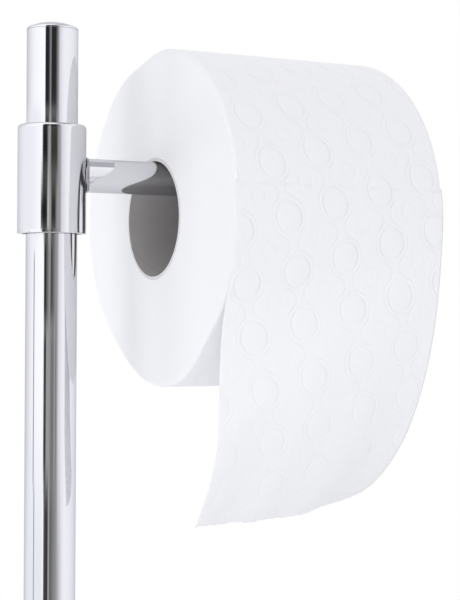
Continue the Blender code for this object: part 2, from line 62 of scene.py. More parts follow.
MERGE_DISTANCE = 1e-7
SAME_PLACE = 2e-6
RUNNING_GAP = 0.0003
HAIR_ROUND = 0.0002
FINE_ROUND = 0.0003
SOFT_ROUND = 0.0006
CUP_TURN = 224
WIDE_TURN = 192
FINE_TURN = 160
MEDIUM_TURN = 128
SMALL_TURN = 64
SCREW_TURN = 48
ROUND_STEPS = 5
DOME_STEPS = 12
SHARP_ANGLE = math.radians(32.0)


class Body(Enum):
    """The bodies that move on their own."""

    STAND = "stand"
    SLIDER = "slider"
    HOLDER = "holder"
    CARRIER = "roll_carrier"
    ROLL = "roll"
    CUP = "cup"
    LINER = "liner"
    BRUSH = "brush"


class Slot(Enum):
    """The material slots of the record."""

    CHROME = "chrome"
    STEEL = "steel"
    IRON = "iron"
    RUBBER = "rubber"
    NYLON = "nylon"
    PLASTIC = "white_plastic"
    FIBRE = "bristle_fibre"
    PAPER = "paper"
    BOARD = "board"


class Axis(Enum):
    """The way that a turned piece's own axis is laid."""

    ALONG_ARM = (90.0, "Y")
    BACKWARDS = (-90.0, "X")

    def matrix(self, centre: Vector) -> Matrix:
        """Return the turn and shift that lay a piece made about Z on this axis."""
        degrees, about = self.value
        return Matrix.Translation(centre) @ Matrix.Rotation(math.radians(degrees), 4, about)


def joined(operation: str) -> Callable[["Wire", Union["Wire", float]], "Wire"]:
    """Return a method that puts a wire and another number through a Math node."""
    return lambda wire, other: wire.join(operation, other)


class Wire:
    """A number on its way through a node tree, joined to others with plain sums."""

    def __init__(self, tree: bpy.types.NodeTree, socket: bpy.types.NodeSocket) -> None:
        """Hold the tree and the output socket that carries the number."""
        self.tree = tree
        self.socket = socket

    def join(self, operation: str, *others: Union["Wire", float]) -> "Wire":
        """Return the result of a Math node on this number and others.

        Args:
            operation: The Math node's operation.
            others: Wires or plain numbers for its further inputs.

        Returns:
            The wire that carries the result.
        """
        node = self.tree.nodes.new("ShaderNodeMath")
        node.operation = operation
        for socket, item in zip(node.inputs, (self, *others)):
            if isinstance(item, Wire):
                self.tree.links.new(item.socket, socket)
            else:
                socket.default_value = item
        return Wire(self.tree, node.outputs[0])

    def __rsub__(self, other: float) -> "Wire":
        """Return a plain number less this one."""
        return -self + other

    def __neg__(self) -> "Wire":
        """Return the number with its sign turned."""
        return self * -1.0

    def __abs__(self) -> "Wire":
        """Return the size without the sign."""
        return self.join("ABSOLUTE")

    __add__ = __radd__ = joined("ADD")
    __sub__ = joined("SUBTRACT")
    __mul__ = __rmul__ = joined("MULTIPLY")
    __truediv__ = joined("DIVIDE")


Number = Union[Wire, np.ndarray]


def floor_of(number: Number) -> Number:
    """Return the whole number at or below each value."""
    return number.join("FLOOR") if isinstance(number, Wire) else np.floor(number)


def exp_of(number: Number) -> Number:
    """Return e to the power of each value."""
    return number.join("EXPONENT") if isinstance(number, Wire) else np.exp(number)


def root_of(number: Number) -> Number:
    """Return the square root of each value."""
    return number.join("SQRT") if isinstance(number, Wire) else np.sqrt(number)


def bump_of(number: Number, width: float) -> Number:
    """Return a smooth hill of height 1 and the given half width, centred on zero."""
    scaled = number * (1.0 / width)
    return exp_of(-(scaled * scaled))


@dataclass(frozen=True)
class Noise:
    """Soft noise: its patches a metre, its finer layers, their weight and any stretch."""

    scale: float
    layers: float = 3.0
    weight: float = 0.5
    stretch: tuple[float, float, float] | None = None


class Graph:
    """A node tree with short ways to add nodes and join them."""

    def __init__(self, tree: bpy.types.NodeTree) -> None:
        """Hold the tree."""
        self.tree = tree

    def node(self, kind: str, inputs: dict | None = None, **settings: object) -> bpy.types.Node:
        """Add a node.

        Args:
            kind: The node's type name.
            inputs: Sockets, by name or place, with a Wire, a socket or a plain value each.
            settings: Properties of the node.

        Returns:
            The new node.
        """
        node = self.tree.nodes.new(kind)
        for name, value in settings.items():
            setattr(node, name, value)
        for name, value in (inputs or {}).items():
            self.feed(node.inputs[name], value)
        return node

    def feed(self, socket: bpy.types.NodeSocket, value: object) -> None:
        """Join a wire or socket to an input, or set its plain value."""
        if isinstance(value, Wire):
            self.tree.links.new(value.socket, socket)
        elif isinstance(value, bpy.types.NodeSocket):
            self.tree.links.new(value, socket)
        else:
            socket.default_value = value

    def wire(self, socket: bpy.types.NodeSocket) -> Wire:
        """Return an output socket as a wire."""
        return Wire(self.tree, socket)

    def coordinates(self, name: str = "Object") -> bpy.types.NodeSocket:
        """Return the surface's coordinates: Object or UV, or Generated for the world."""
        return self.node("ShaderNodeTexCoord").outputs[name]

    def split(self, vector: object) -> tuple[Wire, ...]:
        """Return a vector's three parts as wires."""
        return tuple(self.wire(part) for part in self.node("ShaderNodeSeparateXYZ", {0: vector}).outputs)

    def rays(self, *kinds: str) -> Wire:
        """Return 1 for rays of the given kinds and 0 for all others."""
        path = self.node("ShaderNodeLightPath")
        found, *others = (self.wire(path.outputs[f"Is {kind} Ray"]) for kind in kinds)
        for other in others:
            found = found.join("MAXIMUM", other)
        return found

    def noise(self, vector: object, kind: Noise) -> Wire:
        """Return soft noise from 0 to 1 over the surface."""
        if kind.stretch:
            vector = self.node("ShaderNodeMapping", {"Vector": vector, "Scale": kind.stretch}).outputs[0]
        values = {"Vector": vector, "Scale": kind.scale, "Detail": kind.layers, "Roughness": kind.weight}
        return self.wire(self.node("ShaderNodeTexNoise", values).outputs["Fac"])

    def ramp(self, value: object, low: float, high: float, start: float = 0.0, end: float = 1.0) -> Wire:
        """Return a smooth change from start to end while the value goes from low to high."""
        inputs = {"Value": value, 1: low, 2: high, 3: start, 4: end}
        node = self.node("ShaderNodeMapRange", inputs, interpolation_type="SMOOTHSTEP")
        return self.wire(node.outputs[0])

    def blend(self, share: object, first: object, second: object) -> bpy.types.NodeSocket:
        """Return a colour between two, by a share from 0 to 1."""
        node = self.node("ShaderNodeMix", data_type="RGBA")
        self.feed(node.inputs[0], share)
        self.feed(node.inputs[6], opaque(first))
        self.feed(node.inputs[7], opaque(second))
        return node.outputs[2]

    def bump(self, height: object, distance: float) -> bpy.types.NodeSocket:
        """Return a normal bent by a height whose unit stands for a real distance."""
        values = {"Height": height, "Distance": distance, "Strength": 1.0}
        return self.node("ShaderNodeBump", values).outputs["Normal"]


def opaque(colour: object) -> object:
    """Return a plain colour with its alpha, and leave sockets and wires alone."""
    return (*colour, 1.0) if isinstance(colour, tuple) and len(colour) == 3 else colour


@dataclass(frozen=True)
class RingPattern:
    """The embossing of the paper: chains of oval rings joined by narrow necks.

    The rings stand on a square net that is tilted on the paper. Lengths run across the paper
    (u) and along it (v), in metres.
    """

    pitch: float = 0.02012
    tilt: float = math.radians(15.6)
    start_across: float = -0.0225
    start_along: float = -0.0012
    ring_half_width: float = 0.0052
    ring_half_height: float = 0.0060
    line_width: float = 0.00055
    outer_share: float = 1.30
    outer_strength: float = 0.40
    neck_half_width: float = 0.0016
    neck_flare: float = 150.0
    neck_reach: float = 0.0052
    neck_strength: float = 0.45
    between_half_width: float = 0.0026
    between_half_height: float = 0.0032
    between_strength: float = 0.40
    pillow_reach: float = 0.8
    pillow_strength: float = 0.5
    end_strength: float = 0.65
    perforation_along: float = 0.0102
    perforation_width: float = 0.0004
    perforation_pitch: float = 0.0093
    perforation_strength: float = 0.7
    cut_share: float = 0.3

    def ring(self, across: Number, along: Number, half_width: float, half_height: float) -> Number:
        """Return how far out a point is, where 1 is on the ring's line."""
        wide = across * (1.0 / half_width)
        high = along * (1.0 / half_height)
        return root_of(wide * wide + high * high)

    def cell(self, u: Number, v: Number, shift: float) -> tuple[Number, Number]:
        """Return a point's place in its own square of the net.

        Args:
            u: Places across the paper.
            v: Places along the paper.
            shift: 0 for the squares of the main rings, 0.5 for those of the small ones.

        Returns:
            The distances from the square's middle, across and along the chain of rings.
        """
        right, up = u - self.start_across, v - self.start_along
        across = (right * math.cos(self.tilt) + up * math.sin(self.tilt)) * (1.0 / self.pitch) + shift
        along = (up * math.cos(self.tilt) - right * math.sin(self.tilt)) * (1.0 / self.pitch) + shift
        across = across - floor_of(across + 0.5)
        along = along - floor_of(along + 0.5)
        return across * self.pitch, along * self.pitch

    def pillow(self, u: Number, v: Number) -> Number:
        """Return the soft swelling of the paper inside each main ring."""
        across, along = self.cell(u, v, 0.0)
        reach = self.ring(across, along, self.ring_half_width, self.ring_half_height)
        return bump_of(reach, self.pillow_reach)

    def height(self, u: Number, v: Number) -> Number:
        """Return the relief: pressed lines below zero and soft pillows above it."""
        across, along = self.cell(u, v, 0.0)
        reach = self.ring(across, along, self.ring_half_width, self.ring_half_height)
        beside = across * across / (across * across + along * along + self.line_width ** 2)
        sides = beside * (1.0 - self.end_strength) + self.end_strength
        line_share = self.line_width / self.ring_half_width
        line = bump_of(reach - 1.0, line_share) * sides
        outer = bump_of(reach - self.outer_share, line_share)
        free = self.pitch / 2 - abs(along)
        edge = abs(across) - self.neck_half_width - free * free * self.neck_flare
        neck = bump_of(edge, self.line_width) * bump_of(free * free, self.neck_reach ** 2)
        small = self.ring(*self.cell(u, v, 0.5), self.between_half_width, self.between_half_height)
        between = bump_of(small - 1.0, self.line_width / self.between_half_width)
        pressed = line + outer * self.outer_strength + neck * self.neck_strength
        pressed = pressed + between * self.between_strength
        pressed = pressed + self.perforation(u, v) * self.perforation_strength
        return bump_of(reach, self.pillow_reach) * self.pillow_strength - pressed

    def perforation(self, u: Number, v: Number) -> Number:
        """Return the row of cuts that parts one sheet from the next."""
        step = u * (1.0 / self.perforation_pitch)
        cut = step - floor_of(step) - 0.5
        return bump_of(v - self.perforation_along, self.perforation_width) * bump_of(cut, self.cut_share)


RINGS = RingPattern()


@dataclass(frozen=True)
class Finish:
    """A material: its colour, gloss and the detail that subclasses add."""

    name: str
    slot: Slot
    colour: Colour
    roughness: float
    metallic: float = 0.0

    gloss_change = 0.1
    sheen = 0.0
    specular = 0.5

    def detail(self, graph: Graph) -> dict[str, object]:
        """Return what the shader's inputs get beyond flat values, by their names."""
        return {}

    def gloss(self, noise: Wire) -> Wire:
        """Return the roughness, moved up and down by a noise."""
        return noise * self.gloss_change + (self.roughness - self.gloss_change / 2)

    def shade(self, share: float) -> Colour:
        """Return a share of the colour."""
        return tuple(part * share for part in self.colour)

    def build(self) -> bpy.types.Material:
        """Return the Blender material, built on the first call."""
        found = bpy.data.materials.get(self.name)
        if found:
            return found
        material = bpy.data.materials.new(self.name)
        material.use_nodes = True
        graph = Graph(material.node_tree)
        shader = material.node_tree.nodes["Principled BSDF"]
        flat = {"Base Color": opaque(self.colour), "Roughness": self.roughness, "Metallic": self.metallic,
                "Sheen Weight": self.sheen, "Specular IOR Level": self.specular}
        for name, value in {**flat, **self.detail(graph)}.items():
            graph.feed(shader.inputs[name], value)
        return material


@dataclass(frozen=True)
class Chrome(Finish):
    """Bright plated metal with faint wipe marks and the haze of fingers."""

    patches: Noise = Noise(28.0, 2.0)
    patch_edges: tuple[float, float] = (0.48, 0.72)
    haze: float = 0.05
    smears: Noise = Noise(1.0, 4.0, 0.6, (360.0, 360.0, 54.0))
    smear_edges: tuple[float, float] = (0.55, 0.75)
    wipes: float = 0.02
    waves: Noise = Noise(22.0, 1.0)
    wave_depth: float = 0.00002
    edge_tone: Colour = (0.75, 0.75, 0.75)

    def detail(self, graph: Graph) -> dict[str, object]:
        """Vary the gloss, bend the reflections very slightly and dull the grazing edges."""
        vector = graph.coordinates()
        haze = graph.ramp(graph.noise(vector, self.patches), *self.patch_edges)
        wipes = graph.ramp(graph.noise(vector, self.smears), *self.smear_edges)
        return {"Roughness": haze * self.haze + wipes * self.wipes + self.roughness,
                "Normal": graph.bump(graph.noise(vector, self.waves), self.wave_depth),
                "Specular Tint": opaque(self.edge_tone)}


@dataclass(frozen=True)
class TurnedSteel(Finish):
    """Plain steel with the fine marks of the lathe."""

    grain: Noise = Noise(900.0, 4.0)
    mottle: Noise = Noise(60.0)
    mark_pitch: float = 0.00012
    mark_depth: float = 0.00001
    mark_share: float = 0.3
    dark_share: float = 0.8

    gloss_change = 0.25

    def detail(self, graph: Graph) -> dict[str, object]:
        """Add turning marks and a mottled grey."""
        vector = graph.coordinates()
        x, y, _ = graph.split(vector)
        rings = (root_of(x * x + y * y) * (math.tau / self.mark_pitch)).join("SINE")
        height = rings * self.mark_share + graph.noise(vector, self.grain)
        mottle = graph.noise(vector, self.mottle)
        return {"Base Color": graph.blend(mottle, self.shade(self.dark_share), self.colour),
                "Roughness": self.gloss(mottle), "Normal": graph.bump(height, self.mark_depth)}


@dataclass(frozen=True)
class Moulded(Finish):
    """Cast, moulded or pressed material with an even grain."""

    grain_size: float = 900.0
    grain_depth: float = 0.00003
    shade_share: float = 0.12
    speck_share: float = 0.0
    grain_detail: float = 4.0
    tones: Noise = Noise(25.0)
    speck_scale: float = 0.35
    speck_edges: tuple[float, float] = (0.02, 0.16)
    speck_tone: float = 0.6

    gloss_change = 0.12

    def detail(self, graph: Graph) -> dict[str, object]:
        """Add the grain, slow tone changes and any specks."""
        vector = graph.coordinates()
        grain = graph.noise(vector, Noise(self.grain_size, self.grain_detail))
        tones = graph.noise(vector, self.tones)
        toned = graph.blend(tones, self.shade(1.0 - self.shade_share), self.colour)
        cells = {"Vector": vector, "Scale": self.grain_size * self.speck_scale}
        apart = graph.node("ShaderNodeTexVoronoi", cells).outputs["Distance"]
        specks = graph.ramp(apart, *self.speck_edges, 1.0, 0.0) * self.speck_share
        return {"Base Color": graph.blend(specks, toned, self.shade(self.speck_tone)),
                "Roughness": self.gloss(grain), "Normal": graph.bump(grain, self.grain_depth)}


@dataclass(frozen=True)
class Fibre(Finish):
    """Nylon bristle fibre, whose tone changes a little from tuft to tuft."""

    tones: Noise = Noise(420.0, 2.0)
    dark_share: float = 0.86

    gloss_change = 0.2
    sheen = 0.15

    def detail(self, graph: Graph) -> dict[str, object]:
        """Vary the tone and the gloss over the bristles."""
        tone = graph.noise(graph.coordinates(), self.tones)
        return {"Base Color": graph.blend(tone, self.shade(self.dark_share), self.colour),
                "Roughness": self.gloss(tone)}


@dataclass(frozen=True)
class Paper(Finish):
    """Soft paper, dull and with a faint sheen."""

    sheen = 0.08
    specular = 0.2


@dataclass(frozen=True)
class PaperPly(Paper):
    """The outer ply: embossed paper that follows the piece's UV map, in metres."""

    relief_depth: float = 0.00025
    hanging_reach: float = 0.10
    hanging_strength: float = 0.65
    flattened_from: float = 0.31
    flattened_to: float = 0.33
    flattened_strength: float = 0.35
    patches: Noise = Noise(70.0, 2.0)
    patch_edges: tuple[float, float] = (0.35, 0.65)
    patch_strengths: tuple[float, float] = (0.75, 1.15)
    crepe: Noise = Noise(1.0, 3.0, 0.6, (600.0, 2600.0, 1.0))
    fibres: Noise = Noise(1500.0, 5.0, 0.65)
    fibre_share: float = 0.30
    cloud_share: float = 0.06
    cloud_tone: float = 0.9

    def detail(self, graph: Graph) -> dict[str, object]:
        """Press the rings in, flatter on the hanging end, over a crepe of fine fibres."""
        vector = graph.coordinates("UV")
        u, v, _ = graph.split(vector)
        hanging = graph.ramp(v, -self.hanging_reach, 0.0, self.hanging_strength, 1.0)
        flattened = graph.ramp(v, self.flattened_from, self.flattened_to, 1.0, self.flattened_strength)
        patchy = graph.ramp(graph.noise(vector, self.patches), *self.patch_edges, *self.patch_strengths)
        relief = RINGS.height(u, v) * hanging * patchy * flattened
        fibres = graph.noise(vector, self.crepe) * 0.5 + graph.noise(vector, self.fibres) * 0.5
        cloudy = graph.blend(fibres * self.cloud_share, self.colour, self.shade(self.cloud_tone))
        height = relief + fibres * self.fibre_share
        return {"Base Color": cloudy, "Roughness": self.gloss(fibres),
                "Normal": graph.bump(height, self.relief_depth)}


@dataclass(frozen=True)
class PaperLayers(Paper):
    """The cut side of the roll: hundreds of wound layers seen edge on."""

    axis_height: float = 0.0
    layer_pitch: float = 0.00042
    layer_depth: float = 0.00007
    layer_shares: tuple[float, float, float] = (0.35, 0.8, 0.4)
    looseness: Noise = Noise(120.0)
    loose_share: float = 1.6
    bands: Noise = Noise(1.0, 4.0, 0.7)
    bands_per_metre: float = 900.0
    fluff: Noise = Noise(1800.0, 4.0)
    band_share: float = 0.35
    band_tone: float = 0.93

    def detail(self, graph: Graph) -> dict[str, object]:
        """Draw uneven rings round the roll's axis."""
        vector = graph.coordinates()
        _, y, z = graph.split(vector)
        z = z - self.axis_height
        radius = root_of(y * y + z * z)
        loose = graph.noise(vector, self.looseness) * (self.layer_pitch * self.loose_share)
        rings = ((radius + loose) * (math.tau / self.layer_pitch)).join("SINE") * 0.5 + 0.5
        around = graph.node("ShaderNodeCombineXYZ", {0: radius * self.bands_per_metre})
        bands = graph.noise(around.outputs[0], self.bands)
        fluff = graph.noise(vector, self.fluff)
        ring_share, wide_share, fluff_share = self.layer_shares
        height = rings * ring_share + bands * wide_share + fluff * fluff_share
        banded = graph.blend(bands * self.band_share, self.colour, self.shade(self.band_tone))
        return {"Base Color": banded, "Roughness": self.gloss(fluff),
                "Normal": graph.bump(height, self.layer_depth)}


@dataclass(frozen=True)
class WoundBoard(Finish):
    """Grey cardboard wound in a steep spiral, with its seam and stray fibres."""

    axis_height: float = 0.0
    seam_pitch: float = 0.072
    seam_width: float = 0.0004
    seam_share: float = 0.3
    seam_tone: float = 0.6
    dark_tone: float = 0.84
    mottle_share: float = 0.4
    fibres: Noise = Noise(1.0, stretch=(500.0, 2400.0, 2400.0))
    fibre_depth: float = 0.00008
    mottle: Noise = Noise(70.0)
    grain: Noise = Noise(1100.0, 4.0)

    specular = 0.25

    def detail(self, graph: Graph) -> dict[str, object]:
        """Draw the spiral seam and the fibres of the board."""
        vector = graph.coordinates()
        x, y, z = graph.split(vector)
        turn = (z - self.axis_height).join("ARCTAN2", y) * (1.0 / math.tau)
        along = x * (1.0 / self.seam_pitch) + turn
        apart = abs(along - floor_of(along) - 0.5) * self.seam_pitch
        seam = bump_of(apart, self.seam_width)
        fibres = graph.noise(vector, self.fibres)
        mottle = graph.noise(vector, self.mottle) * self.mottle_share + fibres * (1.0 - self.mottle_share)
        toned = graph.blend(mottle, self.shade(self.dark_tone), self.colour)
        return {"Base Color": graph.blend(seam * self.seam_share, toned, self.shade(self.seam_tone)),
                "Roughness": self.gloss(graph.noise(vector, self.grain)),
                "Normal": graph.bump(fibres - seam, self.fibre_depth)}


class Solid:
    """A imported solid's place: its corners at rest."""

    def __init__(self, node: str) -> None:
        """Read the solid's box."""
        self.low, self.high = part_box(node)

    @property
    def centre(self) -> Vector:
        """Return the middle of the box."""
        return (self.low + self.high) / 2

    @property
    def radius(self) -> float:
        """Return half of the box's depth, which is the radius of a turned piece."""
        return (self.high.y - self.low.y) / 2

    @property
    def span(self) -> tuple[float, float, float]:
        """Return the lowest and the highest level, and the radius."""
        return self.low.z, self.high.z, self.radius

    @property
    def half_width(self) -> float:
        """Return half of the box's length along the arm."""
        return (self.high.x - self.low.x) / 2

    def lay(self, axis: Axis) -> Matrix:
        """Return the move that lays a piece made about Z across the post, at this level."""
        return axis.matrix(Vector((0.0, 0.0, self.centre.z)))


class Outline:
    """A line in the XZ plane that is spun about Z into a turned piece."""

    def __init__(self, radius: float, height: float) -> None:
        """Start the line at a radius and a height."""
        self.shape = bmesh.new()
        self.tip = self.shape.verts.new((radius, 0.0, height))
        self.first = self.tip
        self.rounds: dict[float, list[tuple[float, float]]] = {}

    def to(self, radius: float, height: float, rounding: float = 0.0) -> "Outline":
        """Draw the line on to a corner, which is rounded after the spin."""
        corner = self.shape.verts.new((radius, 0.0, height))
        self.shape.edges.new((self.tip, corner))
        self.tip = corner
        if rounding:
            self.rounds.setdefault(rounding, []).append((radius, height))
        return self

    def evenly(self, radius: float, height: float, steps: int) -> "Outline":
        """Draw a straight line in equal steps."""
        start = self.tip.co.copy()
        end = Vector((radius, 0.0, height))
        for step in range(1, steps + 1):
            point = start.lerp(end, step / steps)
            self.to(point.x, point.z)
        return self

    def dome(self, rise: float, steps: int) -> "Outline":
        """Carry the tip on an arc up to the axis, as the top of a ball."""
        rim = self.tip.co.x
        ball = (rim ** 2 + rise ** 2) / (2 * rise)
        centre = (0.0, 0.0, self.tip.co.z + rise - ball)
        swept = bmesh.ops.spin(self.shape, geom=[self.tip], cent=centre, axis=(0.0, 1.0, 0.0),
                               dvec=(0.0, 0.0, 0.0), angle=-math.asin(rim / ball), steps=steps,
                               use_merge=False, use_duplicate=False)
        self.tip = next(item for item in swept["geom_last"] if isinstance(item, bmesh.types.BMVert))
        self.tip.co.x = 0.0
        return self

    def close(self) -> "Outline":
        """Join the line's end to its start."""
        self.shape.edges.new((self.tip, self.first))
        return self

    def spin(self, turn: int = FINE_TURN) -> bmesh.types.BMesh:
        """Spin the line about Z and round its corners.

        Args:
            turn: The number of steps round.

        Returns:
            The closed shape with its faces outward.
        """
        shape = self.shape
        bmesh.ops.spin(shape, geom=shape.verts[:] + shape.edges[:], cent=(0.0, 0.0, 0.0),
                       axis=(0.0, 0.0, 1.0), dvec=(0.0, 0.0, 0.0), angle=math.tau, steps=turn,
                       use_merge=True, use_duplicate=False)
        bmesh.ops.remove_doubles(shape, verts=shape.verts, dist=MERGE_DISTANCE)
        bmesh.ops.recalc_face_normals(shape, faces=shape.faces)
        for rounding, places in self.rounds.items():
            rings = [edge for edge in shape.edges if self.is_on(edge, places)]
            bmesh.ops.bevel(shape, geom=rings, offset=rounding, offset_type="OFFSET",
                            segments=ROUND_STEPS, profile=0.5, affect="EDGES", material=-1,
                            clamp_overlap=True)
        return shape

    @staticmethod
    def is_on(edge: bmesh.types.BMEdge, places: Iterable[tuple[float, float]]) -> bool:
        """Return whether both ends of an edge lie on one of the corners' rings."""
        for radius, height in places:
            if all(abs(math.hypot(v.co.x, v.co.y) - radius) < SAME_PLACE
                   and abs(v.co.z - height) < SAME_PLACE for v in edge.verts):
                return True
        return False


def tube(inner: float, span: tuple[float, float, float], rounding: float,
         turn: int = FINE_TURN) -> bmesh.types.BMesh:
    """Return a round tube of a solid's span, whose outer ends are rounded."""
    low, high, outer = span
    line = Outline(inner, low).to(outer, low, rounding).to(outer, high, rounding).to(inner, high)
    return line.close().spin(turn)


def domed_cap(spigot: float, levels: tuple[float, float, float], radius: float, rounding: float,
              rise: float, steps: int = DOME_STEPS) -> Outline:
    """Return the outline of a cap: a spigot, a rim over it and a dome that rises from the rim.

    Args:
        spigot: The spigot's radius.
        levels: Where the spigot starts, where the cap sits and where its rim ends.
        radius: The rim's radius.
        rounding: The rounding of the rim's upper edge.
        rise: The dome's height over the rim.
        steps: The number of steps over the dome.

    Returns:
        The line, ready to spin.
    """
    foot, seat, rim = levels
    line = Outline(0.0, foot).to(spigot, foot).to(spigot, seat).to(radius, seat)
    return line.to(radius, rim, rounding).dome(rise, steps)


def laid(shape: bmesh.types.BMesh, matrix: Matrix) -> bmesh.types.BMesh:
    """Move a whole shape and return it."""
    bmesh.ops.transform(shape, matrix=matrix, verts=shape.verts)
    return shape


def split_finish(shape: bmesh.types.BMesh, least: float) -> None:
    """Give the second finish to the faces that look along the arm."""
    for face in shape.faces:
        face.material_index = int(abs(face.normal.x) > least)


def round_the_axis(angle: float, radius: float, height: float) -> Vector:
    """Return the point at an angle, a radius and a height."""
    return Vector((math.cos(angle), math.sin(angle), 0.0)) * radius + Vector((0.0, 0.0, height))


def linked(name: str, data: bpy.types.ID, matrix: Matrix = Matrix.Identity(4)) -> bpy.types.Object:
    """Put a new object with its data in the scene and return it."""
    item = bpy.data.objects.new(name, data)
    item.matrix_world = matrix
    bpy.context.scene.collection.objects.link(item)
    return item


def smooth(mesh: bpy.types.Mesh) -> None:
    """Shade a mesh smooth and keep its sharp edges."""
    mesh.shade_smooth()
    mesh.set_sharp_from_angle(angle=SHARP_ANGLE)


def solid_of(name: str, shape: bmesh.types.BMesh, finishes: Sequence[Finish]) -> bpy.types.Object:
    """Turn a shape into a smooth-shaded object with its materials.

    Args:
        name: The piece's name.
        shape: The shape, which is used up.
        finishes: The finishes of its faces, in the order of their numbers.

    Returns:
        The new object, at the origin.
    """
    mesh = bpy.data.meshes.new(name)
    shape.to_mesh(mesh)
    shape.free()
    smooth(mesh)
    for finish in finishes:
        mesh.materials.append(finish.build())
    return linked(name, mesh)


def drilled(item: bpy.types.Object, cutter: bmesh.types.BMesh) -> None:
    """Cut a shape out of a piece and keep only the result."""
    tool = solid_of(item.name + "_cutter", cutter, ())
    step = item.modifiers.new("hole", "BOOLEAN")
    step.operation = "DIFFERENCE"
    step.solver = "EXACT"
    step.object = tool
    bpy.context.view_layer.update()
    evaluated = item.evaluated_get(bpy.context.evaluated_depsgraph_get())
    mesh = bpy.data.meshes.new_from_object(evaluated)
    item.modifiers.remove(step)
    item.data = mesh
    smooth(mesh)
    bpy.data.objects.remove(tool, do_unlink=True)


def settle(item: bpy.types.Object, body: Body, slot: Slot, node: str) -> None:
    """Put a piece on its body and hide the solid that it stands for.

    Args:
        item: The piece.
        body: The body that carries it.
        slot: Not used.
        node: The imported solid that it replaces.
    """
    if not item.modifiers:
        item.modifiers.new("even_shading", "WEIGHTED_NORMAL").keep_sharp = True
    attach(item, body.value)
    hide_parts(node)
    log.info("%s: %d faces on %s", item.name, len(item.data.polygons), body.value)


def piece(name: str, shape: bmesh.types.BMesh, body: Body, node: str, *finishes: Finish) -> None:
    """Make a shape the piece that stands for a solid, with its finishes as its materials."""
    settle(solid_of(name, shape, finishes), body, finishes[0].slot, node)


def dress(node: str, finish: Finish) -> None:
    """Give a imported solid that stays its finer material."""
    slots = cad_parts[node].data.materials
    material = finish.build()
    if slots:
        slots[0] = material
    else:
        slots.append(material)
    log.info("%s keeps its solid, in %s", node, finish.name)


CHROME = Chrome("chrome_plate", Slot.CHROME, (0.70, 0.70, 0.725), 0.035, 1.0)
STEEL = TurnedSteel("turned_steel", Slot.STEEL, (0.50, 0.50, 0.51), 0.365, 1.0)
IRON = Moulded("cast_iron", Slot.IRON, (0.10, 0.10, 0.11), 0.70, 0.6, 500.0, 0.00015, 0.3, 0.2)
RUBBER = Moulded("dark_rubber", Slot.RUBBER, (0.045, 0.046, 0.05), 0.72, 0.0, 1400.0, 0.00004, 0.2, 0.1)
NYLON = Moulded("bush_nylon", Slot.NYLON, (0.82, 0.82, 0.80), 0.42, 0.0, 1200.0, 0.00002, 0.05)
PLASTIC = Moulded("white_moulding", Slot.PLASTIC, (0.86, 0.86, 0.865), 0.30, 0.0, 700.0, 0.00001, 0.04)
FIBRE = Fibre("bristle_nylon", Slot.FIBRE, (0.90, 0.90, 0.91), 0.45)
PAPER_COLOUR = (0.885, 0.893, 0.925)
PAPER_ROUGHNESS = 0.92
PLY = PaperPly("paper_ply", Slot.PAPER, PAPER_COLOUR, PAPER_ROUGHNESS)


@dataclass
class WeightedBase:
    """The round foot: a pressed cover over a cast weight on a soft pad."""

    wall: float = 0.001
    edge_round: float = 0.004
    flange_round: float = 0.0015
    hole_radius: float = 0.0043
    flat_share: float = 0.96
    flat_steps: int = 12
    cover_turn: int = 256

    def build(self) -> None:
        """Build the cover and the flange, and dress what they hide."""
        hidden = {"base_pad": RUBBER, "base_weight": IRON, "base_washer": STEEL, "base_bolt": STEEL,
                  "post_foot_plug": STEEL, "cup_disc": RUBBER}
        for node, finish in hidden.items():
            dress(node, finish)
        self.cover()
        self.flange()

    def cover(self) -> None:
        """Build the cover with its rolled shoulder."""
        low, high, radius = Solid("base_cover").span
        inner, ceiling = radius - self.wall, high - self.wall
        line = Outline(self.hole_radius, high).evenly(radius * self.flat_share, high, self.flat_steps)
        line.to(radius, high, self.edge_round).to(radius, low).to(inner, low)
        line.to(inner, ceiling, self.edge_round - self.wall).to(self.hole_radius, ceiling)
        piece("chrome_base_cover", line.close().spin(self.cover_turn), Body.STAND, "base_cover", CHROME)

    def flange(self) -> None:
        """Build the ring round the post's foot."""
        low, high, radius = Solid("post_flange").span
        inner = Solid("lower_post").radius + RUNNING_GAP
        line = Outline(inner, low).to(radius, low)
        line.to(radius, high, self.flange_round).to(inner, high, FINE_ROUND)
        piece("chrome_foot_ring", line.close().spin(), Body.STAND, "post_flange", CHROME)


